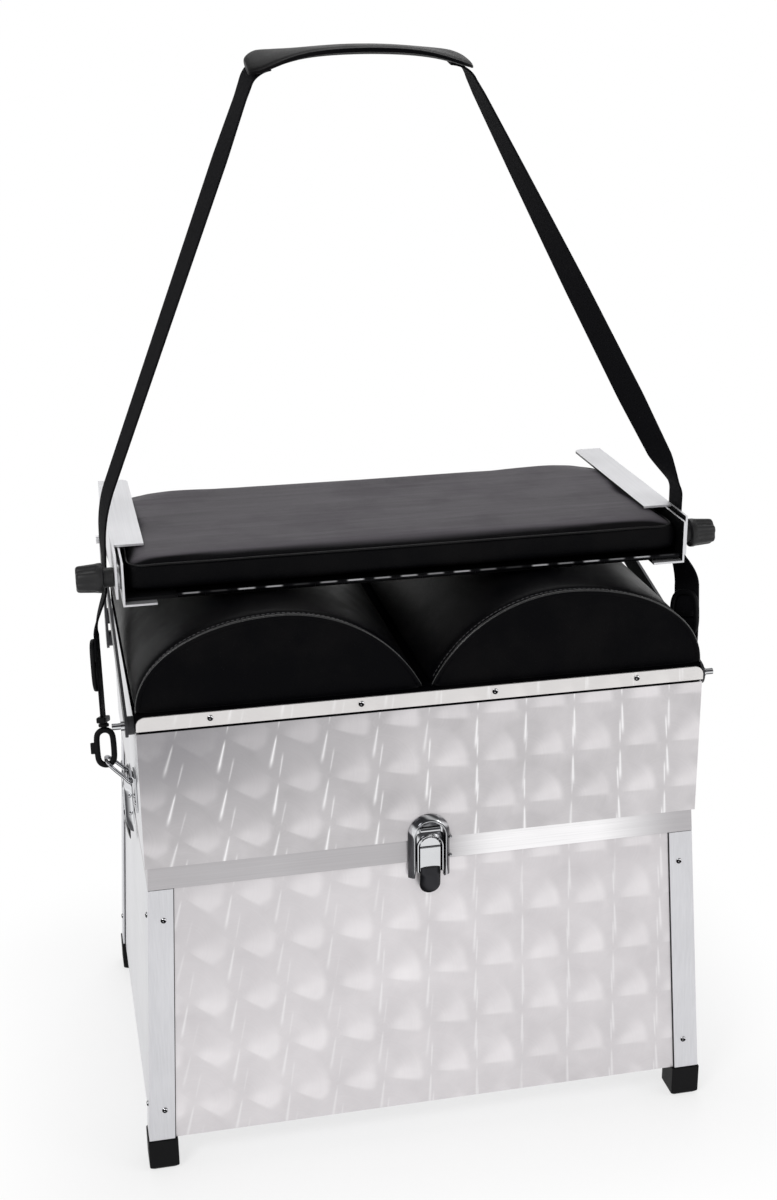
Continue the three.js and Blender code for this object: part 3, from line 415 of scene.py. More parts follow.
class Graph:
    """A node tree with short calls for the nodes that the finishes use."""

    def __init__(self, tree: bpy.types.NodeTree) -> None:
        """Takes the tree that the nodes go into."""
        self.tree = tree

    def feed(self, socket: bpy.types.NodeSocket, value: Feed) -> None:
        """Links an output to a socket, or sets the socket's own value."""
        if isinstance(value, bpy.types.NodeSocket):
            self.tree.links.new(value, socket)
        else:
            socket.default_value = value

    def paint(self, shader: bpy.types.Node, **values: Feed) -> None:
        """Feeds a shader's inputs by name, with _ for a blank."""
        for name, value in values.items():
            self.feed(shader.inputs[name.replace("_", " ")], value)

    def add(self, kind: str, inputs: Optional[Dict] = None, **settings: object) -> bpy.types.Node:
        """Adds a node.

        Args:
            kind: the node's type.
            inputs: value or output for each input, by name or number.
            **settings: the node's own settings.

        Returns:
            The node.
        """
        node = self.tree.nodes.new(kind)
        for key, value in settings.items():
            setattr(node, key, value)
        for key, value in (inputs or {}).items():
            self.feed(node.inputs[key], value)
        return node

    def math(self, operation: str, *values: Feed, clamp: bool = False) -> bpy.types.NodeSocket:
        """The result of a Math node."""
        inputs = dict(enumerate(values))
        return self.add("ShaderNodeMath", inputs, operation=operation, use_clamp=clamp).outputs[0]

    def times(self, *values: Feed, clamp: bool = False) -> bpy.types.NodeSocket:
        """The product of two or more values."""
        product = values[0]
        for value in values[1:-1]:
            product = self.math("MULTIPLY", product, value)
        return self.math("MULTIPLY", product, values[-1], clamp=clamp)

    def plus(self, value: Feed, share: Feed, start: Feed) -> bpy.types.NodeSocket:
        """A value's share added to a start: start + share * value."""
        return self.math("MULTIPLY_ADD", value, share, start)

    def about(
        self, value: Feed, share: float, middle: Feed, clamp: bool = False
    ) -> bpy.types.NodeSocket:
        """A value as a change about a middle: middle + share * (value - 0.5)."""
        change = self.math("SUBTRACT", value, 0.5)
        return self.math("MULTIPLY_ADD", change, share, middle, clamp=clamp)

    def vector(self, operation: str, *values: Feed) -> bpy.types.NodeSocket:
        """The result of a Vector Math node."""
        node = self.add("ShaderNodeVectorMath", dict(enumerate(values)), operation=operation)
        return node.outputs["Value" if operation in ("LENGTH", "DOT_PRODUCT") else "Vector"]

    def parts(self, vector: Feed) -> bpy.types.bpy_prop_collection:
        """The X, Y and Z of a vector."""
        return self.add("ShaderNodeSeparateXYZ", {0: vector}).outputs

    def ramp(self, value: Feed, source: Pair, target: Pair = (0.0, 1.0)) -> bpy.types.NodeSocket:
        """A value taken smoothly from one range to another."""
        inputs = {0: value, 1: source[0], 2: source[1], 3: target[0], 4: target[1]}
        return self.add("ShaderNodeMapRange", inputs, interpolation_type="SMOOTHSTEP").outputs[0]

    def mix(self, share: Feed, first: Feed, second: Feed) -> bpy.types.NodeSocket:
        """A mix of two colours, each an output or a tuple of red, green and blue."""
        colours = [(*value, 1) if isinstance(value, tuple) else value for value in (first, second)]
        inputs = {0: share, 6: colours[0], 7: colours[1]}
        return self.add("ShaderNodeMix", inputs, data_type="RGBA").outputs[2]

    def noise(
        self, place: Feed, scale: float, detail: float = 3.0, rough: float = 0.5
    ) -> bpy.types.NodeSocket:
        """The value of a Noise Texture, about 0.5 in the mean."""
        inputs = {"Vector": place, "Scale": scale, "Detail": detail, "Roughness": rough}
        return self.add("ShaderNodeTexNoise", inputs).outputs[0]

    def place(self) -> bpy.types.NodeSocket:
        """The Object coordinates, in metres."""
        return self.add("ShaderNodeTexCoord").outputs["Object"]

    def facing(self) -> bpy.types.NodeSocket:
        """The way that the surface faces, in the piece's own axes."""
        return self.add("ShaderNodeTexCoord").outputs["Normal"]

    def bump(self, height: Feed, depth: float, strength: float = 1.0) -> bpy.types.NodeSocket:
        """A normal from a height between 0 and 1 and a depth in metres."""
        inputs = {"Height": height, "Distance": depth, "Strength": strength}
        return self.add("ShaderNodeBump", inputs).outputs["Normal"]


class Group:
    """A shared effect: a node group with named inputs and outputs."""

    made: Dict[str, "Group"] = {}

    def __init__(self, name: str, inputs: Dict[str, str], outputs: Sequence[str]) -> None:
        """Makes the group's tree and its sockets.

        Args:
            name: the group's name.
            inputs: kind of each input, Float or Vector, by name.
            outputs: names of the outputs, which are all values.
        """
        self.tree = bpy.data.node_groups.new(name, "ShaderNodeTree")
        self.graph = Graph(self.tree)
        new_socket = self.tree.interface.new_socket
        for key, kind in inputs.items():
            new_socket(name=key, in_out="INPUT", socket_type=f"NodeSocket{kind}")
        for key in outputs:
            new_socket(name=key, in_out="OUTPUT", socket_type="NodeSocketFloat")
        self.source = self.graph.add("NodeGroupInput").outputs
        self.result = self.graph.add("NodeGroupOutput").inputs
        Group.made[name] = self

    def set(self, **values: Feed) -> None:
        """Feeds the group's outputs by name."""
        for name, value in values.items():
            self.graph.feed(self.result[name], value)

    def use(self, graph: Graph, **inputs: Feed) -> bpy.types.bpy_prop_collection:
        """Places the group in a material.

        Args:
            graph: the material's graph.
            **inputs: value or output for each input, with _ for a blank in its name.

        Returns:
            The placed node's outputs.
        """
        node = graph.add("ShaderNodeGroup", node_tree=self.tree)
        graph.paint(node, **inputs)
        return node.outputs


def spot_face_group() -> Group:
    """One round spot, from the offset to its middle in cells.

    In axes turned by Swing, with q / d the sine of the angle round the spot, a painted reflection
    lobe is bright just above the level axis and fades towards the upright, at 0.55 of that on the
    other side of the middle. Faint rings by Chance lie over it. In axes turned by Lean, a painted
    highlight streak exp(-(across / w)^2) lies on the upright, long and broad below and short and
    thin above.

    Returns:
        The group, with outputs Lobe, Cover and Streak.
    """
    inputs = {"Offset": "Vector", "Swing": "Float", "Lean": "Float", "Chance": "Float"}
    group = Group("turned_spot", inputs, ("Lobe", "Cover", "Streak"))
    g, source = group.graph, group.source
    offset = g.parts(source["Offset"])

    def turned(angle: Feed) -> Tuple[bpy.types.NodeSocket, bpy.types.NodeSocket]:
        """The offset in axes turned by an angle."""
        c, s = g.math("COSINE", angle), g.math("SINE", angle)
        along = g.plus(offset[0], c, g.times(offset[1], s))
        up = g.math("SUBTRACT", g.times(offset[1], c), g.times(offset[0], s))
        return along, up

    away = g.math("MAXIMUM", g.vector("LENGTH", source["Offset"]), 0.02)
    p, q = turned(source["Swing"])
    side = g.math("SIGN", p)
    sine = g.math("DIVIDE", g.times(q, side), away)
    # The lobe is a painted reflection of the spot's rings.
    lobe = g.times(
        g.ramp(sine, (-0.10, 0.07)), g.ramp(sine, (0.95, 0.28)),
        g.plus(side, 0.225, 0.775), g.ramp(away, (0.02, 0.36)),
    )
    phase = g.plus(away, 26.0, g.times(source["Chance"], 37.0))
    inputs = {"W": phase, "Scale": 1.0, "Detail": 1.0}
    ring = g.add("ShaderNodeTexNoise", inputs, noise_dimensions="1D").outputs[0]
    off, run = turned(source["Lean"])
    reach, lower = g.math("ABSOLUTE", run), g.math("LESS_THAN", run, 0.0)
    width = g.plus(reach, g.plus(lower, 0.016, 0.012), 0.012)
    ratio = g.math("DIVIDE", off, width)
    share = g.math("DIVIDE", reach, g.plus(lower, 0.18, 0.62))
    above = g.ramp(source["Lean"], (-0.24, -0.04), (0.45, 0.95))
    # The streak is a painted highlight along the upright.
    streak = g.times(
        g.math("EXPONENT", g.times(ratio, ratio, -1.0)),
        g.math("SUBTRACT", 1.0, g.ramp(share, (0.7, 1.0))), g.ramp(reach, (0.02, 0.2)),
        g.math("MAXIMUM", lower, above), g.ramp(source["Chance"], (0.0, 0.6), (0.45, 1.0)),
    )
    cover = g.ramp(away, (0.88, 0.72), (0.0, 0.82))
    group.set(Lobe=g.about(ring, 0.22, lobe), Cover=cover, Streak=streak)
    return group


def spot_group() -> Group:
    """Overlapping round spots of an engine-turned sheet, seen in X and Z, with painted reflections.

    In cell units a = (X - start) / pitch, and b alike for Z. A spot of radius 0.8 sits at each
    whole (i, j). The four spots that reach a cell are laid one over the other, the lower left one
    last, each hiding 0.82 of those below it; the painted highlight streaks of all four show.

    Returns:
        The group, with outputs Tone, Glint and Ring.
    """
    inputs = {
        "Vector": "Vector", "Pitch Across": "Float", "Pitch Up": "Float",
        "Start Across": "Float", "Start Up": "Float",
    }
    group = Group("engine_turned_spots", inputs, ("Tone", "Glint", "Ring"))
    g, source = group.graph, group.source
    place = g.parts(source["Vector"])
    spread = []
    for axis, way in ((0, "Across"), (2, "Up")):
        shift = g.math("SUBTRACT", place[axis], source[f"Start {way}"])
        spread.append(g.math("DIVIDE", shift, source[f"Pitch {way}"]))
    cells = [g.math("FLOOR", value) for value in spread]
    swing = g.ramp(place[0], (-0.25, 0.12), (-0.66, 0.0))
    lean = g.ramp(place[0], (-0.30, 0.24), (-0.30, 0.05))
    tone, glint = 0.3, 0.0
    for steps in ((1, 1), (0, 1), (1, 0), (0, 0)):
        corner = [g.math("ADD", cell, step) for cell, step in zip(cells, steps)]
        away = [g.math("SUBTRACT", value, middle) for value, middle in zip(spread, corner)]
        cell, offset = (
            g.add("ShaderNodeCombineXYZ", dict(enumerate(pair))).outputs[0]
            for pair in (corner, away)
        )
        inputs = {"Vector": cell}
        chance = g.add("ShaderNodeTexWhiteNoise", inputs, noise_dimensions="2D").outputs[0]
        spot = shared("turned_spot").use(
            g, Offset=offset, Swing=swing, Lean=g.about(chance, 0.09, lean), Chance=chance
        )
        level = g.plus(spot["Lobe"], 0.36, g.plus(chance, 0.12, 0.22))
        tone = g.add("ShaderNodeMix", {0: spot["Cover"], 2: tone, 3: level}).outputs[0]
        glint = g.math("MAXIMUM", glint, spot["Streak"])
    group.set(Tone=tone, Glint=glint, Ring=spot["Lobe"])
    return group


def brush_group() -> Group:
    """Brushed lines: noise on coordinates stretched by Stretch, and broad soft smears.

    Returns:
        The group, with outputs Tone and Height.
    """
    group = Group("brushed_lines", {"Vector": "Vector", "Stretch": "Vector"}, ("Tone", "Height"))
    g, source = group.graph, group.source
    lines = g.noise(g.vector("MULTIPLY", source["Vector"], source["Stretch"]), 1.0, 4.0, 0.6)
    smear = g.noise(source["Vector"], 9.0, 2.0)
    group.set(Tone=g.about(smear, 0.5, g.about(lines, 0.45, 0.5)), Height=lines)
    return group


def grain_group() -> Group:
    """Leather grain: the edges of small cells under fine noise, with shallow creases.

    Returns:
        The group, with outputs Height and Wear.
    """
    group = Group("leather_grain", {"Vector": "Vector", "Scale": "Float"}, ("Height", "Wear"))
    g, source = group.graph, group.source
    place = source["Vector"]
    sway = g.add("ShaderNodeTexNoise", {"Vector": place, "Scale": 260.0, "Detail": 2.0})
    shift = g.vector("MULTIPLY", sway.outputs["Color"], (0.0006,) * 3)
    inputs = {"Vector": g.vector("ADD", place, shift), "Scale": source["Scale"]}
    cells = g.add("ShaderNodeTexVoronoi", inputs, feature="DISTANCE_TO_EDGE")
    edge = g.ramp(cells.outputs["Distance"], (0.0, 0.16))
    fine = g.noise(place, 1500.0, 2.0)
    crease = g.noise(place, 38.0, 5.0, 0.62)
    height = g.plus(crease, 0.9, g.plus(edge, 0.35, g.times(fine, 0.2)))
    group.set(Height=height, Wear=g.ramp(g.noise(place, 14.0, 4.0, 0.6), (0.42, 0.68)))
    return group


def weave_group() -> Group:
    """Woven ribs on U across and V along, in metres.

    Warp ribs |sin(pi U / rib)| cross weft picks |sin(pi (V / pick + U / lean))| that run aslant.

    Returns:
        The group, with outputs Height and Tone.
    """
    rib, pick, lean = 0.0014, 0.0021, 0.0030
    group = Group("woven_ribs", {"UV": "Vector"}, ("Height", "Tone"))
    g, source = group.graph, group.source
    place = g.parts(source["UV"])
    turns = (
        g.times(place[0], math.pi / rib),
        g.plus(place[0], math.pi / lean, g.times(place[1], math.pi / pick)),
    )
    warp, weft = (g.math("ABSOLUTE", g.math("SINE", turn)) for turn in turns)
    height = g.plus(warp, 0.4, g.times(weft, 0.6))
    fuzz = g.math("ADD", g.noise(source["UV"], 420.0), 0.5)
    group.set(Height=height, Tone=g.times(height, fuzz))
    return group


def dust_group() -> Group:
    """Light handling marks: broad smudges and small specks.

    Returns:
        The group, with outputs Smudge and Speck.
    """
    group = Group("handling_marks", {"Vector": "Vector"}, ("Smudge", "Speck"))
    g, source = group.graph, group.source
    specks = g.ramp(g.noise(source["Vector"], 900.0, 1.0), (0.70, 0.78))
    group.set(Smudge=g.noise(source["Vector"], 22.0, 4.0, 0.6), Speck=specks)
    return group


GROUP_MAKERS: Dict[str, Callable[[], Group]] = {
    "turned_spot": spot_face_group,
    "engine_turned_spots": spot_group,
    "brushed_lines": brush_group,
    "leather_grain": grain_group,
    "woven_ribs": weave_group,
    "handling_marks": dust_group,
}


def shared(name: str) -> Group:
    """The shared effect of that name, made at its first use."""
    return Group.made.get(name) or GROUP_MAKERS[name]()


def smudges(graph: Graph, place: Feed) -> bpy.types.NodeSocket:
    """The broad smudges of the handling marks."""
    return shared("handling_marks").use(graph, Vector=place)["Smudge"]


# ---------------------------------------------------------------- finishes


# Colour of painted highlights: the glints on turned sheet and the glare on brushed strip.
GLARE = (1.0, 0.99, 1.0)


@dataclass(frozen=True)
class Finish:
    """What every finish has: its name and the record's slot that it stands for."""

    name: str
    slot: str

    def material(self) -> bpy.types.Material:
        """The finish's material, made at its first use."""
        made = bpy.data.materials.get(self.name)
        if made is None:
            made = bpy.data.materials.new(self.name)
            made.use_nodes = True
            self.dress(Graph(made.node_tree), made.node_tree.nodes["Principled BSDF"])
        return made

    def dress(self, graph: Graph, shader: bpy.types.Node) -> None:
        """Feeds the shader; each finish has its own way."""
        raise NotImplementedError


@dataclass(frozen=True)
class EngineTurned(Finish):
    """Bright sheet turned with overlapping round spots, with painted reflections, highlights and
    shade.

    Attributes:
        pitch, start: steps between spots across and up, and where one's middle lies, in metres.
        deep: the colour that the shaded upper left end goes to.
        gain: what the tone gains from left to right, a painted gradient of light.
        shade_height: where the shade starts and where it is full.
    """

    pitch: Pair = (0.0439, 0.0455)
    start: Pair = (0.0, 0.371)
    dark: Triple = (0.42, 0.405, 0.415)
    bright: Triple = (0.88, 0.85, 0.865)
    glint: float = 0.85
    deep: Triple = (0.20, 0.195, 0.21)
    gain: float = 0.1
    shade: float = 0.8
    shade_height: Pair = (0.30, 0.42)

    def dress(self, graph: Graph, shader: bpy.types.Node) -> None:
        """Colour from the spots' painted reflections and highlight streaks, a painted shade at the
        upper left end, rings as a fine bump.
        """
        place = graph.place()
        x, _, z = graph.parts(place)
        spots = shared("engine_turned_spots").use(
            graph, Vector=place, Pitch_Across=self.pitch[0], Pitch_Up=self.pitch[1],
            Start_Across=self.start[0], Start_Up=self.start[1],
        )
        smudge = smudges(graph, place)
        # Painted shade over the upper left end, patchy with the smudges.
        shade = graph.times(
            graph.ramp(x, (0.02, -0.26)), graph.ramp(z, self.shade_height),
            graph.ramp(smudge, (0.3, 0.7), (0.75, 1.0)), self.shade,
        )
        # A painted gradient of light from left to right.
        tone = graph.math("ADD", spots["Tone"], graph.ramp(x, (-0.08, 0.2), (0.0, self.gain)))
        tone = graph.about(smudge, 0.5, tone, clamp=True)
        sheet = graph.mix(shade, graph.mix(tone, self.dark, self.bright), self.deep)
        # The painted highlight streaks go white over the sheet.
        graph.paint(
            shader, Base_Color=graph.mix(graph.times(spots["Glint"], self.glint), sheet, GLARE),
            Roughness=graph.plus(tone, -0.12, 0.42), Metallic=0.72,
            Normal=graph.bump(spots["Ring"], 0.00004),
        )


@dataclass(frozen=True)
class Brushed(Finish):
    """Sheet or strip metal with brushed lines.

    Attributes:
        glare: the stretch of X, in metres, where a painted highlight makes the strip white.
        inward_shade: colour of the painted shade on the faces that look inwards.
    """

    run: Along = Along.ACROSS
    dark: Triple = (0.50, 0.50, 0.52)
    bright: Triple = (0.82, 0.82, 0.85)
    roughness: float = 0.36
    metallic: float = 0.8
    glare: Optional[Pair] = None
    inward_shade: Optional[Triple] = None

    def dress(self, graph: Graph, shader: bpy.types.Node) -> None:
        """Colour from the lines and the smears, roughness with smudges, lines as a fine bump."""
        place = graph.place()
        x = graph.parts(place)[0]
        lines = shared("brushed_lines").use(graph, Vector=place, Stretch=self.run.value)
        smudge = smudges(graph, place)
        colour = graph.mix(graph.about(smudge, 0.2, lines["Tone"]), self.dark, self.bright)
        # Painted highlight: over the glare's stretch the strip goes white.
        if self.glare:
            start, stop = self.glare
            share = graph.times(
                graph.ramp(x, (start - 0.07, start)), graph.ramp(x, (stop + 0.09, stop)),
                graph.ramp(lines["Tone"], (0.2, 0.6), (0.55, 1.0)),
            )
            colour = graph.mix(share, colour, GLARE)
        # Painted shade on the faces that look in towards the middle.
        if self.inward_shade:
            outward = graph.times(graph.parts(graph.facing())[0], graph.math("SIGN", x))
            colour = graph.mix(graph.ramp(outward, (-0.6, -0.95)), colour, self.inward_shade)
        graph.paint(
            shader, Base_Color=colour, Roughness=graph.about(smudge, 0.25, self.roughness),
            Metallic=self.metallic, Normal=graph.bump(lines["Height"], 0.00006),
        )


@dataclass(frozen=True)
class Chrome(Finish):
    """Polished plating with painted reflections: the dark and bright bands that a curved mirror
    has.

    Attributes:
        bands: place, from 0 facing down to 1 facing up, and brightness of each painted reflection
            band.
    """

    dark: Triple = (0.045, 0.045, 0.05)
    bright: Triple = (0.88, 0.89, 0.91)
    bands: Tuple[Pair, ...] = (
        (0.0, 0.35), (0.1, 0.02), (0.36, 0.03), (0.42, 0.85), (0.47, 0.74), (0.54, 0.8),
        (0.60, 0.03), (0.80, 0.02), (0.86, 1.0), (0.91, 0.04), (1.0, 0.7),
    )

    def dress(self, graph: Graph, shader: bpy.types.Node) -> None:
        """Painted reflection bands by the way the surface itself faces, with smudges in the gloss.
        """
        smudge = smudges(graph, graph.place())
        lean = graph.vector("DOT_PRODUCT", graph.facing(), (0.45, 0.0, 0.89))
        ramp = graph.add("ShaderNodeValToRGB", {0: graph.plus(lean, 0.5, 0.5)})
        ramp.color_ramp.interpolation = "EASE"
        keys = ramp.color_ramp.elements
        for number, (stop, level) in enumerate(self.bands):
            key = keys[number] if number < 2 else keys.new(stop)
            key.position = stop
            key.color = (level, level, level, 1)
        tone = graph.about(smudge, 0.2, ramp.outputs[0], clamp=True)
        graph.paint(
            shader, Base_Color=graph.mix(tone, self.dark, self.bright),
            Roughness=graph.plus(smudge, 0.10, 0.06), Metallic=1.0,
            Normal=graph.bump(smudge, 0.0001, 0.3),
        )


@dataclass(frozen=True)
class Knuckled(Finish):
    """A piano hinge: black, with a painted highlight on the middle of each knuckle and painted
    shade in the joints between them.

    Attributes:
        start, pitch: end of the hinge and length of a knuckle along X, in metres.
    """

    start: float = 0.0
    pitch: float = 0.02
    dark: Triple = (0.004, 0.004, 0.005)
    bright: Triple = (0.62, 0.62, 0.64)

    def dress(self, graph: Graph, shader: bpy.types.Node) -> None:
        """A painted highlight on the upper middle of each knuckle, by a chance of its own, and
        painted shade elsewhere.
        """
        place = graph.place()
        smudge = smudges(graph, place)
        shift = graph.math("SUBTRACT", graph.parts(place)[0], self.start)
        count = graph.math("DIVIDE", shift, self.pitch)
        inputs = {"W": graph.math("FLOOR", count)}
        chance = graph.add("ShaderNodeTexWhiteNoise", inputs, noise_dimensions="1D").outputs[0]
        middle = graph.math("SUBTRACT", graph.math("FRACT", count), 0.5)
        # The highlight is painted only on faces that look up; the lower sides get painted shade.
        upward = graph.parts(graph.facing())[2]
        level = graph.times(
            graph.ramp(upward, (0.15, 0.45)), graph.ramp(upward, (0.95, 0.75)),
            graph.ramp(graph.math("ABSOLUTE", middle), (0.36, 0.22)),
            graph.ramp(chance, (0.1, 0.9), (0.06, 1.0)), graph.plus(smudge, 0.6, 0.6), clamp=True,
        )
        graph.paint(
            shader, Base_Color=graph.mix(level, self.dark, self.bright),
            Roughness=graph.plus(smudge, 0.2, 0.2), Metallic=0.9,
            Normal=graph.bump(smudge, 0.0001, 0.4),
        )


@dataclass(frozen=True)
class Leatherette(Finish):
    """Grained coated fabric.

    Attributes:
        grain: cells of the grain for each metre.
        top, top_lines: colour of a painted sheen on upper faces, and how its lines are stretched.
    """

    deep: Triple = (0.0016, 0.0016, 0.0022)
    worn: Triple = (0.0036, 0.0034, 0.0038)
    grain: float = 620.0
    roughness: float = 0.32
    specular: float = 0.03
    top: Optional[Triple] = None
    top_lines: Triple = (10.0, 150.0, 150.0)

    def dress(self, graph: Graph, shader: bpy.types.Node) -> None:
        """Near black with grain and soft creases, a little paler and duller where it is worn, with
        a painted sheen on upward faces where top is given.
        """
        place = graph.place()
        grain = shared("leather_grain").use(graph, Vector=place, Scale=self.grain)
        colour = graph.mix(grain["Wear"], self.deep, self.worn)
        # A painted sheen on the faces that look up.
        if self.top:
            upward = graph.parts(graph.facing())[2]
            lines = graph.noise(graph.vector("MULTIPLY", place, self.top_lines), 1.0, 4.0, 0.6)
            share = graph.times(
                graph.ramp(upward, (0.80, 0.99)), graph.ramp(lines, (0.1, 0.9), (0.6, 1.0))
            )
            colour = graph.mix(share, colour, self.top)
        graph.paint(
            shader, Base_Color=colour, Roughness=graph.plus(grain["Wear"], 0.12, self.roughness),
            Specular_IOR_Level=self.specular, Normal=graph.bump(grain["Height"], 0.00035, 0.6),
        )


@dataclass(frozen=True)
class Moulded(Finish):
    """Moulded plastic, coated board or thread, with a fine stipple."""

    deep: Triple = (0.002, 0.002, 0.0023)
    worn: Triple = (0.006, 0.006, 0.0068)
    roughness: float = 0.42
    specular: float = 0.10
    stipple: float = 1400.0

    def dress(self, graph: Graph, shader: bpy.types.Node) -> None:
        """Black with smudges, specks and a stippled bump."""
        place = graph.place()
        marks = shared("handling_marks").use(graph, Vector=place)
        tone = graph.math("MULTIPLY_ADD", marks["Speck"], 0.4, marks["Smudge"], clamp=True)
        graph.paint(
            shader, Base_Color=graph.mix(tone, self.deep, self.worn),
            Roughness=graph.plus(marks["Smudge"], 0.15, self.roughness),
            Specular_IOR_Level=self.specular,
            Normal=graph.bump(graph.noise(place, self.stipple, 2.0), 0.00008, 0.7),
        )


@dataclass(frozen=True)
class Webbing(Finish):
    """Woven strap."""

    deep: Triple = (0.0015, 0.0015, 0.002)
    pale: Triple = (0.0075, 0.0075, 0.0088)

    def dress(self, graph: Graph, shader: bpy.types.Node) -> None:
        """Ribs on the strap's own U and V."""
        uv = graph.add("ShaderNodeUVMap", uv_map="along").outputs[0]
        weave = shared("woven_ribs").use(graph, UV=uv)
        graph.paint(
            shader, Base_Color=graph.mix(weave["Tone"], self.deep, self.pale),
            Roughness=graph.plus(weave["Tone"], 0.1, 0.7), Specular_IOR_Level=0.05,
            Normal=graph.bump(weave["Height"], 0.0003),
        )


TURNED_LID = EngineTurned("turned_sheet_lid", "turned_aluminium")
TURNED_LOWER = EngineTurned(
    "turned_sheet_lower", "turned_aluminium", pitch=(0.0439, 0.0511), start=(0.0, 0.0637),
    dark=(0.60, 0.575, 0.59), bright=(0.97, 0.94, 0.955), glint=0.42, gain=-0.12, shade=0.2,
    shade_height=(0.06, 0.30),
)
TURNED_TRIM = EngineTurned(
    "turned_strip", "turned_aluminium", start=(0.010, 0.4165), dark=(0.66, 0.64, 0.635),
    bright=(0.86, 0.84, 0.825), glint=0.4, gain=0.0, shade_height=(0.6, 0.7),
)
BRUSHED_RIM = Brushed(
    "brushed_rim", "brushed_aluminium", dark=(0.37, 0.355, 0.365), bright=(0.60, 0.585, 0.60),
    glare=(0.07, 0.15),
)
RAIL_STEEL = Brushed(
    "rail_steel", "brushed_aluminium", Along.FORWARD, dark=(0.015, 0.015, 0.017),
    bright=(0.07, 0.07, 0.075),
)
BRUSHED_POST = Brushed("brushed_post", "brushed_aluminium", Along.UPRIGHT)
BRUSHED_SIDE = Brushed(
    "brushed_side", "brushed_aluminium", Along.FORWARD, bright=(0.86, 0.86, 0.88)
)
BRUSHED_BRACKET = Brushed(
    "brushed_bracket", "brushed_aluminium", Along.FORWARD, bright=(0.9, 0.9, 0.92)
)
# Brackets with painted shade on their inward faces.
INWARD_SHADED_BRACKET = replace(BRUSHED_BRACKET, name="bracket_inward_shade", inward_shade=(0.012, 0.012, 0.013))
CHROME = Chrome("chrome_plate", "chrome")
DARK_CHROME = Chrome(
    "dark_plate", "chrome", dark=(0.006, 0.006, 0.007), bright=(0.040, 0.040, 0.044)
)
# Rivet heads: dark, with a painted highlight on the faces that look up.
RIVET = Chrome(
    "dark_rivet", "chrome", dark=(0.004, 0.004, 0.005), bright=(0.9, 0.9, 0.92),
    bands=((0.0, 0.1), (0.3, 0.0), (0.62, 0.0), (0.72, 1.0), (0.84, 0.9), (0.9, 0.05), (1.0, 0.0)),
)
HINGE_STEEL = Knuckled("hinge_steel", "brushed_aluminium", start=-0.205, pitch=0.452 / 19)
LEATHERETTE = Leatherette("seat_leatherette", "leatherette")
# The pad's top gets a painted sheen.
PAD_LEATHERETTE = replace(
    LEATHERETTE, name="pad_leatherette", roughness=0.4, specular=0.05, top=(0.098, 0.090, 0.102)
)
BOARD_LEATHERETTE = replace(LEATHERETTE, name="board_leatherette", specular=0.0)
PIPING = replace(LEATHERETTE, name="piping_leatherette", roughness=0.24, specular=0.55)
WELT = replace(LEATHERETTE, name="welt_leatherette", roughness=0.34, specular=0.2)
PLASTIC = Moulded("moulded_black", "black_plastic")
KNOB = Moulded(
    "knob_black", "black_plastic", deep=(0.006, 0.006, 0.0065), worn=(0.018, 0.018, 0.019),
    roughness=0.34, specular=0.3,
)
BOARD = Moulded("coated_board", "black_board", roughness=0.55)
THREAD = Moulded(
    "sewing_thread", "black_webbing", deep=(0.03, 0.03, 0.032), worn=(0.12, 0.12, 0.125)
)
WEBBING = Webbing("strap_webbing", "black_webbing")


# ---------------------------------------------------------------- sub-assemblies


@dataclass
class Assembly:
    """A sub-assembly: it dresses its CAD nodes and builds its own pieces."""

    nodes: Dict[str, Finish] = field(default_factory=dict)
    soft_edges: Dict[str, float] = field(default_factory=dict)

    def dress(self) -> None:
        """Gives each CAD node its finish, and a small bevel where one is named."""
        for name, finish in self.nodes.items():
            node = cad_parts[name]
            if not node.material_slots:
                node.data.materials.append(None)
            for slot in node.material_slots:
                slot.link = "OBJECT"
                slot.material = finish.material()
            LOG.info("%s: %s", name, finish.name)
        for name, width in self.soft_edges.items():
            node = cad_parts[name]
            weld = node.modifiers.new("weld", "WELD")
            weld.merge_threshold = 0.00001
            bevel = node.modifiers.new("edges", "BEVEL")
            bevel.width = width * MM
            bevel.segments = 2
            bevel.limit_method = "ANGLE"
            bevel.angle_limit = math.radians(40)
            bevel.harden_normals = True


def rivet(place: Triple, axis: Triple, radius: float = 2.6, rise: float = 1.3) -> Surface:
    """A pan-headed rivet with a drilled middle.

    Args:
        place: foot of the head on the sheet, in millimetres.
        axis: the way the head looks.
        radius: of the head, in millimetres.
        rise: of the head, in millimetres.

    Returns:
        The closed surface.
    """
    profile = [
        (-0.4, radius * 0.98), (0.15 * rise, radius), (0.6 * rise, radius * 0.93),
        (0.92 * rise, radius * 0.7), (rise, radius * 0.45), (0.55 * rise, radius * 0.36),
        (0.3 * rise, radius * 0.12),
    ]
    return lathe(profile, place, axis, 16)


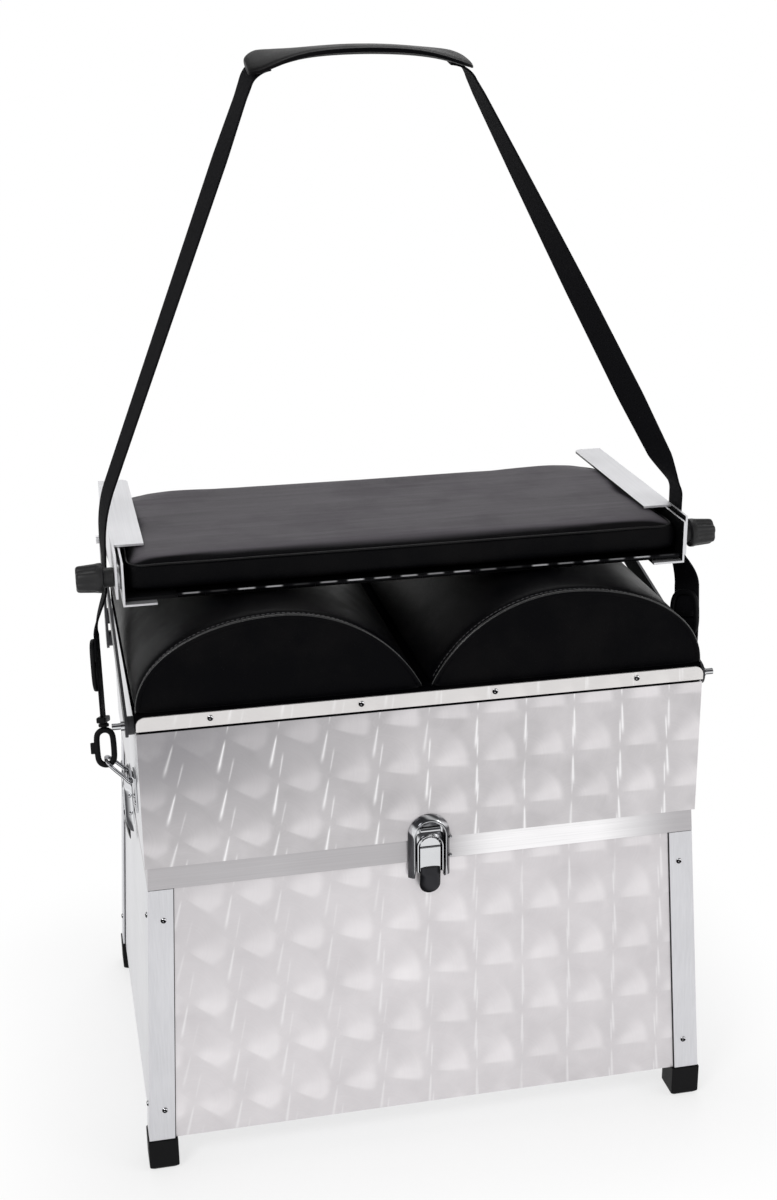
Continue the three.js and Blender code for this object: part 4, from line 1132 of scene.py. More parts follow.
@dataclass
class LowerBox(Assembly):
    """The flared lower box with its posts, feet and rim; lengths in millimetres.

    Attributes:
        half, flare: half sizes in X and Y at the top, and what they gain down to the foot.
        seal, shadow_inset: width of a painted shadow line and how far it lies behind the post's
            face.
        rivet_rows: height of each row of rivets and its distance from the corner.
    """

    top: float = 299.4
    foot: float = 31.0
    half: Pair = (247.7, 170.2)
    flare: Pair = (14.6, 15.3)
    post_leg: float = 22.0
    post_top: float = 277.6
    seal: float = 0.8
    shadow_inset: float = 1.9
    rivet_rows: Tuple[Pair, ...] = ((248.5, 13.5), (61.5, 14.0))

    def spread(self, z: float) -> Pair:
        """The half sizes of the box at a height: half + flare * (top - z) / (top - foot)."""
        share = min((self.top - z) / (self.top - self.foot), 1.0)
        return self.half[0] + share * self.flare[0], self.half[1] + share * self.flare[1]

    def make(self) -> None:
        """Dresses the nodes and adds rivets and the painted shadow lines beside the posts."""
        self.nodes = {
            "lower_front_panel": TURNED_LOWER, "lower_back_panel": TURNED_LOWER,
            "lower_left_panel": BRUSHED_SIDE, "lower_right_panel": BRUSHED_SIDE,
            "floor_panel": BRUSHED_SIDE, "rim_band": BRUSHED_RIM, "lid_hinge_lower": BRUSHED_RIM,
            **{f"post_{corner}": BRUSHED_POST for corner in CORNERS},
            **{f"foot_{corner}": PLASTIC for corner in CORNERS},
        }
        self.soft_edges = {
            **{f"post_{corner}": 0.4 for corner in CORNERS},
            **{f"foot_{corner}": 1.0 for corner in CORNERS},
            "rim_band": 0.4,
        }
        self.dress()
        build("post_rivets", joined(self.rivets()), RIVET, "lower_box", 40)
        # Black strips that paint the shadow of the gap beside each post.
        build("post_seals", joined(self.seals()), PLASTIC, "lower_box", 40)

    def rivets(self) -> List[Surface]:
        """Two rivets on each leg of each post.

        Returns:
            Their surfaces.
        """
        found = []
        for z, inset in self.rivet_rows:
            x, y = self.spread(z)
            for sx, sy in QUARTERS:
                found.append(rivet((sx * (x - inset), sy * y, z), (0, sy, 0)))
                found.append(rivet((sx * x, sy * (y - inset), z), (sx, 0, 0)))
        return found

    def seals(self) -> List[Surface]:
        """A thin black strip along the inner edge of each post's legs, a painted shadow of the gap
        there.

        Each strip is a rounded section carried from the foot to the post's top, leaning with it.

        Returns:
            Their surfaces.
        """
        found = []
        section = oval(self.seal / 2, self.seal / 2, 3, 10)
        heights = np.array([self.foot + 1.0, self.post_top])
        wide = np.array([self.spread(z) for z in heights])
        edge = wide - (self.post_leg * wide / np.array(self.half) + self.seal / 2)
        face = wide - self.shadow_inset
        for sx, sy in QUARTERS:
            front = np.stack([sx * edge[:, 0], sy * face[:, 1], heights], axis=-1)
            flank = np.stack([sx * face[:, 0], sy * edge[:, 1], heights], axis=-1)
            found += [swept(front, (1, 0, 0), section), swept(flank, (0, 1, 0), section)]
        return found


@dataclass
class Lid(Assembly):
    """The deep lid with its trim strip, hinge and side brackets; lengths in millimetres.

    Attributes:
        trim_rivets, trim_face, trim_middle: X, Y and height of the strip's rivets.
        plate_middle, plate_rivet: middle of the ring plate's face, and its rivets' distance.
    """

    trim_rivets: Tuple[float, ...] = (-188.0, -59.0, 59.0, 188.0)
    trim_face: float = -174.3
    trim_middle: float = 436.0
    plate_middle: Triple = (251.8, -112.4, 338.0)
    plate_rivet: float = 7.0

    def make(self) -> None:
        """Dresses the nodes and adds the rivets of the strip and of the ring plates."""
        self.nodes = {
            "lid_front_panel": TURNED_LID, "lid_back_panel": TURNED_LID,
            "lid_left_panel": BRUSHED_SIDE, "lid_right_panel": BRUSHED_SIDE,
            "seat_board": BOARD_LEATHERETTE, "seat_front_trim": TURNED_TRIM,
            "lid_hinge_upper": BRUSHED_RIM,
            **{f"side_bracket_{word}": RAIL_STEEL for word in SIDES},
            **{f"rail_stud_{word}": CHROME for word in SIDES},
            **{f"ring_plate_{word}": CHROME for word in SIDES},
        }
        self.soft_edges = {
            "lid_front_panel": 0.5, "lid_back_panel": 0.5, "seat_front_trim": 0.35,
            **{f"side_bracket_{word}": 0.5 for word in SIDES},
            **{f"ring_plate_{word}": 0.3 for word in SIDES},
        }
        self.dress()
        heads = [rivet((x, self.trim_face, self.trim_middle), (0, -1, 0)) for x in self.trim_rivets]
        build("trim_rivets", joined(heads), RIVET, "lid", 40)
        x, y, z = self.plate_middle
        plates = [
            rivet((side.value * x, y + aside, z), (side.value, 0, 0), 2.2, 1.1)
            for side in Side for aside in (-self.plate_rivet, self.plate_rivet)
        ]
        build("ring_plate_rivets", joined(plates), CHROME, "lid", 40)


@dataclass
class Seat(Assembly):
    """The two half-round rolls with their sewn end bands; lengths in millimetres.

    Attributes:
        middle, base, end: X of a roll's middle, height of its foot, Y of its ends.
        power: fullness of the outer side, 2 for an ellipse.
        slack, slack_rise: depth of the slow wave and height at which it is full.
        profile: distance from the end and inset of each station of the sewn end.
        face_shares, face_middle: the rings of an end face and the point they shrink to.
    """

    half: float = 123.75
    rise: float = 77.9
    middle: float = 126.25
    base: float = 442.8
    end: float = 168.5
    power: float = 2.06
    slack: float = 0.35
    slack_rise: float = 60.0
    piping: float = 1.45
    piping_place: float = 2.2
    stitch_place: float = 11.2
    stitch_pitch: float = 4.3
    stitch: Tuple[Pair, ...] = ((-1.5, 0.08), (-1.25, 0.3), (0, 0.42), (1.25, 0.3), (1.5, 0.08))
    profile: Tuple[Pair, ...] = (
        (1.4, 5.2), (0.7, 4.6), (0.1, 3.6), (0.0, 2.4), (0.5, 1.2), (1.5, 0.5), (2.7, 0.4),
        (3.8, 0.9), (4.7, 1.7), (5.4, 2.2), (6.2, 2.1), (8.4, 1.9), (10.2, 2.1), (11.2, 2.9),
        (12.1, 2.1), (13.2, 1.1), (16.0, 0.4), (22.0, 0.1), (34.0, 0.0), (70.0, 0.0), (120.0, 0.0),
    )
    face_shares: Tuple[float, ...] = (0.02, 0.2, 0.42, 0.62, 0.8, 0.91, 0.97)
    face_middle: Pair = (0.0, 30.0)
    face_swell: float = 1.2

    def outline(self, inset: np.ndarray) -> np.ndarray:
        """The roll's section at each station, in X from its middle and Z from its base.

        A quarter of a fuller ellipse on the outer side, x = half (sin a)^(2 / power) and
        z = rise (cos a)^(2 / power), a round arc x = r sin a, z = rise - r + r cos a on the inner
        side, then the flat base. An inset i scales X by 1 - i / half and Z by 1 - i / rise.

        Args:
            inset: how far each station is drawn in, in millimetres.

        Returns:
            Array of stations by places by 2.
        """
        angle = np.linspace(np.pi / 2, 0, 39)
        full = 2 / self.power
        outer = (self.half * np.sin(angle) ** full, self.rise * np.cos(angle) ** full)
        radius = (self.half**2 + self.rise**2) / (2 * self.rise)
        angle = math.asin(self.half / radius) * np.linspace(0, -1, 38)[1:]
        inner = (radius * np.sin(angle), self.rise - radius + radius * np.cos(angle))
        under = (np.linspace(-self.half, self.half, 14)[1:-1], np.zeros(12))
        ring = np.concatenate([np.stack(part, axis=-1) for part in (outer, inner, under)])
        scale = np.stack([1 - inset / self.half, 1 - inset / self.rise], axis=-1)
        return ring[None] * scale[:, None, :]

    def arch(self, inset: float) -> np.ndarray:
        """The section's round part, from foot to foot, at one inset."""
        return self.outline(np.array([inset]))[0][:76]

    def cover(self, side: Side) -> Surface:
        """The cover of one roll.

        The section is carried along Y with the inset of the sewn end profile, mirrored at the
        rear. Both end faces are the same section shrunk towards a point by s, swelling out by
        face_swell (1 - s^2), and a slow wave of the slack keeps the top from being ruled.

        Args:
            side: which roll.

        Returns:
            The closed surface.
        """
        along, inset = np.array(self.profile).T
        y = np.concatenate([along - self.end, (self.end - along)[::-1]])
        section = self.outline(np.concatenate([inset, inset[::-1]]))
        x, z = section[..., 0], section[..., 1]
        wave = self.slack * np.sin(y[:, None] / 31 + 1.3) * np.sin(x / 27 + side.value)
        wave = wave * np.clip(z / 30, 0, 1) * np.clip((self.end - np.abs(y[:, None])) / 60, 0, 1)
        sunk = self.slack * np.clip(z / self.slack_rise, 0, 1)
        body = np.stack([x, np.broadcast_to(y[:, None], x.shape), z + wave - sunk], axis=-1)
        share, centre = np.array(self.face_shares), np.array(self.face_middle)
        face = centre + share[:, None, None] * (section[0] - centre)
        swell = self.face_swell * (1 - share**2)
        front_y = np.broadcast_to((y[0] - swell)[:, None], face.shape[:2])
        front = np.stack([face[..., 0], front_y, face[..., 1]], axis=-1)
        rings = np.concatenate([front, body, (front * (1, -1, 1))[::-1]])
        rings[..., 0] = side.value * (self.middle + rings[..., 0])
        rings[..., 2] += self.base
        return skin(rings * MM)

    def stitches(self, side: Side) -> Surface:
        """Rows of stitches in the groove of both end bands of one roll.

        One stitch is a short rod with round ends; it is set at equal steps of arc length and
        turned to the arc's tangent.

        Args:
            side: which roll.

        Returns:
            The stitches as one surface.
        """
        depth = float(np.interp(self.stitch_place, *np.array(self.profile).T)) - 0.35
        arch = self.arch(depth)[1:]
        run = run_along(arch)
        stops = np.arange(self.stitch_pitch, run[-1] - self.stitch_pitch, self.stitch_pitch)
        place = at_stops(arch, run, stops)
        tangent = unit(at_stops(arch, run, stops + 0.5) - place)
        rod = lathe(self.stitch, (0, 0, 0), (1, 0, 0), 6)
        long, aside, high = (rod.points / MM).T[:, None, :]
        ahead, rise = tangent[:, :1], tangent[:, 1:]
        x = place[:, :1] + long * ahead - high * rise
        z = place[:, 1:] + long * rise + high * ahead
        count = len(rod.points)
        faces = [[n * count + v for v in face] for n in range(len(place)) for face in rod.faces]
        found = []
        for end in (-1, 1):
            y = np.broadcast_to(end * (self.end - self.stitch_place) + aside, x.shape)
            points = np.stack([side.value * (self.middle + x), y, self.base + z], axis=-1)
            found.append(Surface(points.reshape(-1, 3) * MM, faces).outward())
        return joined(found)

    def pipes(self, side: Side) -> Surface:
        """The piping along the upper edge of both end faces: a round section on the outline.

        Args:
            side: which roll.

        Returns:
            The closed surface.
        """
        arch = self.arch(self.piping + 0.2)
        section = oval(self.piping, self.piping, 2, 12)
        x, z = side.value * (self.middle + arch[:, 0]), self.base + arch[:, 1]
        found = []
        for end in (-1, 1):
            y = np.full(len(arch), end * (self.end - self.piping_place))
            found.append(swept(np.stack([x, y, z], axis=-1), (0, 1, 0), section))
        return joined(found)

    def make(self) -> None:
        """Builds both covers, their piping and their stitches."""
        for side in Side:
            build(f"roll_piping_{side.word}", self.pipes(side), PIPING, "lid")
            name = f"roll_cover_{side.word}"
            cover = build(name, self.cover(side), LEATHERETTE, "lid", subdivide=1)
            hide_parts(f"seat_roll_{side.word}")
            build(f"roll_stitches_{side.word}", self.stitches(side), THREAD, "lid")


@dataclass
class Backrest(Assembly):
    """The padded backrest, its board, piano hinge, brackets, arms and knobs; in millimetres.

    Attributes:
        half, front, back, bottom, edge_top: the pad's room in X, Y and Z.
        corners: radii of the front and the rear corners.
        draw, shrink: how far the long sides are drawn in, how much smaller the slack form is.
        voxel, swell: size of the cloth's squares and the most that a point may move.
        knob_place: Y and Z of the knobs' axis.
        knob_profile: distance from the middle, radius and share of the flutes at each station.
    """

    half: float = 248.6
    front: float = -107.0
    back: float = 116.0
    bottom: float = 526.5
    edge_top: float = 553.7
    crown: float = 2.4
    corners: Pair = (6.5, 46.0)
    edge: float = 5.0
    draw: float = 2.0
    shrink: float = 0.5
    voxel: float = 4.5
    swell: float = 3.0
    pressure: float = 2.0
    frames: int = 20
    knob_place: Pair = (-85.0, 536.5)
    flutes: int = 6
    flute_depth: float = 2.2
    knob_profile: Tuple[Triple, ...] = (
        (256.3, 7.9, 0), (256.7, 8.5, 0), (262.0, 8.5, 0), (264.9, 8.7, 0), (265.3, 9.6, 0),
        (265.4, 11.6, 0), (265.9, 12.6, 0), (267.0, 13.0, 0), (269.8, 13.0, 0.1),
        (271.2, 12.9, 0.8), (273.0, 12.7, 1), (279.0, 12.3, 1), (285.6, 11.8, 1),
        (287.2, 11.3, 1), (288.1, 10.2, 0.8), (288.3, 9.0, 0.3), (288.2, 7.6, 0),
        (287.5, 6.9, 0), (287.4, 3.5, 0), (287.4, 0.2, 0),
    )

    @property
    def middle(self) -> float:
        """Y of the pad's middle."""
        return (self.front + self.back) / 2

    @property
    def deep(self) -> float:
        """Half the pad's depth."""
        return (self.back - self.front) / 2

    def ring(self, inset: float, places: int = 200) -> np.ndarray:
        """The pad's outline in X and Y, drawn in by an inset.

        A rectangle with round corners at equal steps of its own length; its long sides are
        drawn in between the corners by draw (1 - (x / half)^2).

        Args:
            inset: in millimetres.
            places: number of points.

        Returns:
            Array of places by 2.
        """
        quarter = np.linspace(0, np.pi / 2, 12)
        pieces = []
        front, back = (self.front, self.corners[0], 1), (self.back, self.corners[1], -1)
        spots = ((1, front, -1), (1, back, 0), (-1, back, 1), (-1, front, 2))
        for sx, (y, radius, toward), turns in spots:
            centre = np.array([sx * (self.half - radius), y + toward * radius])
            turn = turns * np.pi / 2 + quarter
            spoke = np.stack([np.cos(turn), np.sin(turn)], axis=-1)
            pieces.append(centre + max(radius - inset, 0.5) * spoke)
        rough = np.concatenate(pieces)
        loop = np.concatenate([rough, rough[:1]])
        run = run_along(loop)
        outline = at_stops(loop, run, np.linspace(0, run[-1], places, endpoint=False))
        from_middle = outline[:, 1] - self.middle
        bow = 1 - np.clip(np.abs(outline[:, 0]) / self.half, 0, 1) ** 2
        reach = np.abs(from_middle) / self.deep
        outline[:, 1] -= np.sign(from_middle) * self.draw * bow * reach**2
        return outline

    def form(self) -> Surface:
        """The pad's slack form before it swells.

        Rings of the outline go up the side, over a round edge (inset e (1 - cos q), height
        top - e + e sin q) and in to the middle with a crown of c sin q.

        Returns:
            The closed surface.
        """
        s, edge, top = self.shrink, self.edge, self.edge_top - self.shrink
        levels = [(s + 1.5, self.bottom + 0.2), (s, self.bottom + 4), (s, self.edge_top - edge - 2)]
        for q in np.linspace(0.15, 1.0, 5) * np.pi / 2:
            levels.append((s + edge * (1 - math.cos(q)), top - edge * (1 - math.sin(q))))
        for share in (0.12, 0.3, 0.55, 0.8):
            inset = s + edge + (self.deep - edge - s) * share
            levels.append((inset, top + self.crown * math.sin(share * math.pi / 2)))
        sharp, size = self.corners[0], np.array([self.half, self.deep])
        centre = np.array([0.0, self.middle])
        rings = []
        for inset, z in levels:
            outline = self.ring(sharp - 0.5 if inset > sharp else inset)
            if inset > sharp:
                outline = centre + (outline - centre) * (size - inset) / (size - sharp)
            rings.append(np.concatenate([outline, np.full((len(outline), 1), z)], axis=1))
        return skin(np.array(rings) * MM)

    def swollen(self) -> Surface:
        """The pad after a cloth simulation swells its form from inside.

        The form is remeshed into small squares, its underside is held, pressure pushes the
        rest out, and each point's way is capped.

        Returns:
            The closed surface.
        """
        scene, solve = bpy.context.scene, bpy.context.evaluated_depsgraph_get
        piece = placed("pad_form", meshed("pad_form", self.form()))
        remesh = piece.modifiers.new("squares", "REMESH")
        remesh.mode = "VOXEL"
        remesh.voxel_size = self.voxel * MM
        squares = bpy.data.meshes.new_from_object(piece.evaluated_get(solve()))
        piece.modifiers.clear()
        piece.data = squares
        flat = np.zeros(len(squares.vertices) * 3)
        squares.vertices.foreach_get("co", flat)
        start = flat.reshape(-1, 3).copy()
        held = piece.vertex_groups.new(name="held")
        low = np.flatnonzero(start[:, 2] < (self.bottom + 1.0) * MM)
        held.add(low.tolist(), 1.0, "REPLACE")
        cloth = piece.modifiers.new("cloth", "CLOTH")
        cloth.settings.quality = 6
        cloth.settings.mass = 0.3
        cloth.settings.use_pressure = True
        cloth.settings.uniform_pressure_force = self.pressure
        cloth.settings.vertex_group_mass = "held"
        cloth.settings.effector_weights.gravity = 0.0
        cloth.point_cache.frame_start = 1
        cloth.point_cache.frame_end = self.frames
        for number in range(1, self.frames + 1):
            scene.frame_set(number)
        solved = piece.evaluated_get(solve()).to_mesh()
        solved.vertices.foreach_get("co", flat)
        scene.frame_set(1)
        way = flat.reshape(-1, 3) - start
        length = np.linalg.norm(way, axis=1, keepdims=True)
        points = start + way * np.minimum(1.0, self.swell * MM / np.maximum(length, 1e-9))
        faces = [list(face.vertices) for face in squares.polygons]
        bpy.data.objects.remove(piece)
        return Surface(self.kept_clear(self.relaxed(points, faces)), faces).outward()

    def relaxed(self, points: np.ndarray, faces: List[List[int]], rounds: int = 5) -> np.ndarray:
        """The points after rounds in which each goes halfway to the mean of its neighbours.

        Args:
            points: one row for each vertex.
            faces: vertex numbers of each four-sided face.
            rounds: how many rounds.

        Returns:
            The new points.
        """
        square = np.array(faces)
        ahead = np.roll(square, -1, axis=1)
        sides = np.concatenate([np.stack([square[:, k], ahead[:, k]], axis=-1) for k in range(4)])
        first, second = np.concatenate([sides, sides[:, ::-1]]).T
        size = len(points)
        count = np.bincount(first, minlength=size)[:, None]
        for _ in range(rounds):
            total = np.stack([
                np.bincount(first, weights=column, minlength=size) for column in points[second].T
            ], axis=-1)
            points = (points + total / count) / 2
        return points

    def kept_clear(self, points: np.ndarray) -> np.ndarray:
        """The points kept off the board, the hinge's knuckles and the brackets.

        Args:
            points: in metres.

        Returns:
            The points, each coordinate limited to the room that the pad has.
        """
        x, y, z = (points / MM).T
        rise = np.clip((z - self.bottom - 3) / 8, 0, 1)
        y = np.maximum(y, self.front - 0.3 - 2.6 * rise)
        return np.stack([
            np.clip(x, -self.half, self.half),
            np.minimum(y, self.back + 1.5),
            np.clip(z, self.bottom, self.edge_top + self.crown + 0.6),
        ], axis=-1) * MM

    def welt(self, pad: Surface) -> Surface:
        """The welt sewn round the pad's upper edge.

        Its path is the outline taken to the weighted mean of the pad's points near it, with
        weights exp(-(d / 3.5)^2), then smoothed and moved out and up by 0.9 mm.

        Args:
            pad: the swollen pad.

        Returns:
            The closed surface.
        """
        outline = self.ring(1.6, 320)
        path = np.concatenate([outline, np.full((len(outline), 1), self.edge_top - 2.2)], axis=1)
        points = pad.points / MM
        near = points[points[:, 2] > self.edge_top - 14]
        away = np.linalg.norm(path[:, None, :] - near[None, :, :], axis=-1)
        weight = np.exp(-((away / 3.5) ** 2)) + 1e-12
        path = (weight[..., None] * near[None]).sum(axis=1) / weight.sum(axis=1)[:, None]
        smooth = sum(np.roll(path, step, axis=0) for step in range(-4, 5)) / 9
        side = smooth - np.roll(smooth, 1, axis=0)
        out = unit(np.stack([side[:, 1], -side[:, 0], np.zeros(len(side))], axis=-1))
        lifted = smooth + 0.9 * out + (0, 0, 0.9)
        return swept(lifted, (0, 0, 1), oval(1.1, 1.1, 2, 10), closed=True)

    def knob(self, side: Side) -> Surface:
        """A clamping knob: collar, fluted head and bolt, all round the X axis.

        r(x, a) = R(x) - depth f(x) ((1 + cos n a) / 2)^1.6, with R and f from the profile and n
        the number of flutes.

        Args:
            side: which end.

        Returns:
            The knob's surface.
        """
        out, size, share = np.array(self.knob_profile).T[:, :, None]
        angle = np.linspace(0, 2 * np.pi, 96, endpoint=False)
        flute = ((1 + np.cos(self.flutes * angle)) / 2) ** 1.6
        radius = size - self.flute_depth * share * flute
        y, z = self.knob_place
        rings = np.stack([
            np.broadcast_to(out, radius.shape),
            y + radius * np.cos(angle), z + radius * np.sin(angle),
        ], axis=-1)
        bolt = lathe([(0, 2.4), (0.6, 3.0), (8.0, 3.0)], (249.05, y, z), (1, 0, 0), 24)
        return joined([skin(rings * MM), bolt]).mirrored(side)

    def make(self) -> None:
        """Dresses the nodes and builds the pad, its welt and the knobs."""
        self.nodes = {
            "backrest_base_board": BOARD,
            "pad_hinge_upper": HINGE_STEEL, "pad_hinge_lower": HINGE_STEEL,
            **{f"inner_bracket_{word}": INWARD_SHADED_BRACKET for word in SIDES},
            **{f"outer_bracket_{word}": INWARD_SHADED_BRACKET for word in SIDES},
            **{f"backrest_arm_{word}": BRUSHED_BRACKET for word in SIDES},
        }
        self.soft_edges = {name: 0.35 for name in self.nodes if "bracket" in name or "arm" in name}
        self.dress()
        surface = self.swollen()
        pad = build("backrest_cushion", surface, PAD_LEATHERETTE, "backrest", subdivide=1)
        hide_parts("backrest_pad")
        build("cushion_welt", self.welt(surface), WELT, "backrest")
        for side in Side:
            body = f"clamp_knob_{side.word}"
            knob = build(f"fluted_knob_{side.word}", self.knob(side), KNOB, body, 38)
            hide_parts(f"knob_{side.word}")


@dataclass
class Latches(Assembly):
    """Three toggle latches: an arched shell on the lid, a hasp and a keeper; in millimetres.

    Attributes:
        panel, plate_half: height of the hasp's half round, half widths at the pin and below.
        arches: radius, width, rise beyond the pin and skew of the shell's two bands.
        stand_off: of the shell's back from the lid.
        panel_radius, tab_radius: of the shell's half-round panel and of the tongue's end.
        ears: X and heights of the pins' heads on the shell.
        stand: name, how far the pin stands out, place and turn of each latch.
    """

    top: float = 324.0
    bottom: float = 263.0
    half: float = 19.0
    pin: float = 311.0
    plate_bottom: float = 271.0
    panel: float = 295.0
    tab_bottom: float = 248.0
    plate_half: Pair = (11.6, 12.3)
    arches: Tuple[Tuple[float, ...], ...] = ((16.2, 5.6, 2.4, 2.0), (13.75, 1.5, 3.1, 1.0))
    stand_off: float = 0.45
    panel_radius: float = 12.8
    tab_radius: float = 9.4
    ears: Triple = (18.2, 301.0, 283.0)
    stand: Tuple[Tuple[str, float, Triple, float], ...] = (
        ("front", 4.604, (0.0, -172.5, 0.0), 0.0),
        ("left", 4.517, (-250.0, -10.0, 0.0), -90.0),
        ("right", 4.517, (250.0, -10.0, 0.0), 90.0),
    )

    def arch(self, radius: float, width: float, rise: float, skew: float) -> Surface:
        """A band in the form of an arch: a domed section carried up, round and down.

        The section is x = w cos q, y = -rise sin(pi (q / pi)^skew)^0.7 over a flat back. The
        rise falls towards both feet and a little at the crown.

        Args:
            radius: of the band's middle, in millimetres.
            width: of the band.
            rise: of its crest above the back.
            skew: more than 1 for a crest nearer the inner edge.

        Returns:
            The closed surface.
        """
        centre = self.top - self.half
        legs = np.linspace(self.bottom + 0.5, centre, 12)[:-1]
        turn = np.linspace(np.pi, 0, 33)
        side, level = np.ones(11), np.zeros(11)
        out_x = np.concatenate([-side, np.cos(turn), side])
        out_z = np.concatenate([level, np.sin(turn), level])
        x = radius * out_x
        z = np.concatenate([legs, centre + radius * np.sin(turn), legs[::-1]])
        q = np.linspace(0, np.pi, 17)
        foot = np.clip((z - self.bottom) / 13, 0, 1)
        crest = rise * (0.5 + 0.5 * np.sin(foot * np.pi / 2)) * (1 - 0.16 * np.clip(out_z, 0, 1))
        a = width / 2 * np.cos(q)
        b = np.abs(np.sin(np.pi * (q / np.pi) ** skew)) ** 0.7
        rings = np.stack([
            x[:, None] + out_x[:, None] * a[None],
            -self.stand_off - crest[:, None] * b[None],
            z[:, None] + out_z[:, None] * a[None],
        ], axis=-1)
        return skin(rings * MM)

    def slab(
        self,
        heights: np.ndarray,
        width: Callable[[np.ndarray], np.ndarray],
        front: Callable[[np.ndarray, np.ndarray], np.ndarray],
        back: float,
    ) -> Surface:
        """A plate drawn in X and Z: x = u width(z), y = -front(u, z), over a flat back.

        Args:
            heights: the rows' heights, in millimetres.
            width: half the plate's width at each height.
            front: how far the front stands out at each u and z.
            back: how far the back stands out.

        Returns:
            The closed surface.
        """
        u = np.sin(np.linspace(-np.pi / 2, np.pi / 2, 65))
        x = u[None] * width(heights)[:, None]
        z = np.broadcast_to(heights[:, None], x.shape)
        face = np.stack([x, -front(np.broadcast_to(u[None], x.shape), z), z], axis=-1)
        rear = np.stack([x[:, ::-1], np.full(x.shape, -back), z[:, ::-1]], axis=-1)
        return skin(np.concatenate([face, rear], axis=1) * MM)

    def shell(self, out: float) -> Surface:
        """The fixed shell: two nested arches, the half-round panel above the pin and two ears.

        Args:
            out: how far the pin stands out, in millimetres.

        Returns:
            The shell's surface.
        """
        centre, reach = self.top - self.half, self.panel_radius
        floor, top = self.pin + 4.0, centre + math.sqrt(reach**2 - 0.5)

        def width(z: np.ndarray) -> np.ndarray:
            """The half width of a half circle."""
            return np.sqrt(np.maximum(reach**2 - (z - centre) ** 2, 0.4))

        def front(u: np.ndarray, z: np.ndarray) -> np.ndarray:
            """A shallow dome that falls towards the top."""
            dome = np.sqrt(np.clip(1 - 0.8 * u**2, 0, 1)) * np.clip((top + 2 - z) / 8, 0, 1)
            return out + 0.4 + 1.6 * dome

        rows = floor + (top - floor) * np.sin(np.linspace(0, np.pi / 2, 14))
        bands = [self.arch(size, wide, out + rise, skew) for size, wide, rise, skew in self.arches]
        head = [(0, 1.5), (1.8, 1.5), (2.3, 1.0)]
        side, *heights = self.ears
        ears = [lathe(head, (side, -out * 0.6, z), (1, 0, 0), 14) for z in heights]
        return joined([*bands, self.slab(rows, width, front, self.stand_off), *ears])

    def hasp(self, out: float) -> Surface:
        """The hinged hasp: a plate with a raised rim, a half-round panel and a line across.

        Args:
            out: how far the pin stands out, in millimetres.

        Returns:
            The hasp's surface.
        """
        def front(u: np.ndarray, z: np.ndarray) -> np.ndarray:
            """A raised rim round a flat field, a groove beside it and one across, soft edges."""
            x = 12.0 * u
            reach = np.where(z > self.panel, np.hypot(x, z - self.panel), np.abs(x))
            rim = np.clip((reach - 10.2) / 0.4, 0, 1) * 1.2
            groove = -1.3 * np.clip(1 - np.abs(reach - 9.7) / 0.7, 0, 1)
            soft = -1.4 * np.clip((reach - 11.3) / 0.8, 0, 1) ** 2
            line = -1.2 * np.exp(-(((z - self.panel) / 0.55) ** 2))
            fall = np.where(z > self.panel, 0.55 * np.clip(reach - 11.9, 0, 4.5), 0.0)
            return out + 1.9 + rim + groove + soft - fall + np.where(reach < 9.8, line, 0.0)

        rows = np.concatenate([
            np.linspace(self.plate_bottom, self.panel - 2, 16),
            np.linspace(self.panel - 1.6, self.panel + 1.6, 15),
            np.linspace(self.panel + 2, self.pin + 2.2, 34),
        ])
        plate = self.slab(
            rows, lambda z: np.where(z > self.pin - 4, *self.plate_half), front, out - 0.8
        )
        barrel = [(0, 2.2), (0.5, 2.7), (18.5, 2.7), (19, 2.2)]
        return joined([plate, lathe(barrel, (-9.5, -out, self.pin), (1, 0, 0), 20)])

    def tongue(self, out: float) -> Surface:
        """The dark round-ended tongue below the plate.

        Args:
            out: how far the pin stands out, in millimetres.

        Returns:
            The tongue's surface.
        """
        radius, foot = self.tab_radius, self.tab_bottom
        falling = 1 - np.cos(np.linspace(0, np.pi / 2, 28))
        rows = foot + 0.25 + (self.plate_bottom + 3.4 - foot) * falling

        def half(z: np.ndarray) -> np.ndarray:
            """A half circle below its centre, straight above."""
            low = np.clip(foot + radius - z, 0, radius - 0.02)
            return np.sqrt(radius**2 - low**2)

        def front(u: np.ndarray, z: np.ndarray) -> np.ndarray:
            """A belly that is proudest under the plate, falling to the round end."""
            share = np.clip((z - foot) / (self.plate_bottom - 3 - foot), 0, 1)
            belly = (0.7 + 4.0 * share**0.7) * (1 - 0.5 * np.abs(u) ** 3)
            return out - 0.8 + np.maximum(belly, 0.35)

        return self.slab(rows, half, front, out - 0.8)

    def make(self) -> None:
        """Dresses the keepers and builds the three latches."""
        self.nodes = {f"latch_keeper_{name}": CHROME for name, *_ in self.stand}
        self.soft_edges = dict.fromkeys(self.nodes, 0.3)
        self.dress()
        for name, out, place, turn in self.stand:
            spin = Matrix.Rotation(math.radians(turn), 4, "Z")
            matrix = Matrix.Translation(Vector(place) * MM) @ spin
            hinged = f"hasp_{name}"
            shell = build(f"latch_shell_{name}", self.shell(out).moved(matrix), CHROME, "lid", 35)
            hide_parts(f"latch_dome_{name}")
            hasp = build(f"hasp_plate_{name}", self.hasp(out).moved(matrix), CHROME, hinged, 35)
            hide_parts(f"latch_hasp_{name}")
            build(f"hasp_tongue_{name}", self.tongue(out).moved(matrix), DARK_CHROME, hinged, 45)


@dataclass(frozen=True)
class Leg:
    """What differs between the strap's two legs; lengths in millimetres, turns in degrees.

    Attributes:
        bend, rounding: height of the bend above the brackets and how long it is.
        run_out, inward: X of the lower run's top, and how far it leans in towards its foot.
        turns: how far it is turned at the slider and at the eye.
        tip: how far the leg and the sleeve's end are tipped.
        reach: where the leg ends under the sleeve, as a share of out.
        twist: heights, and how far the leg is turned there.
    """

    bend: float
    rounding: float
    run_out: float
    inward: float
    turns: Pair
    tip: float
    reach: float
    twist: Tuple[Pair, ...]


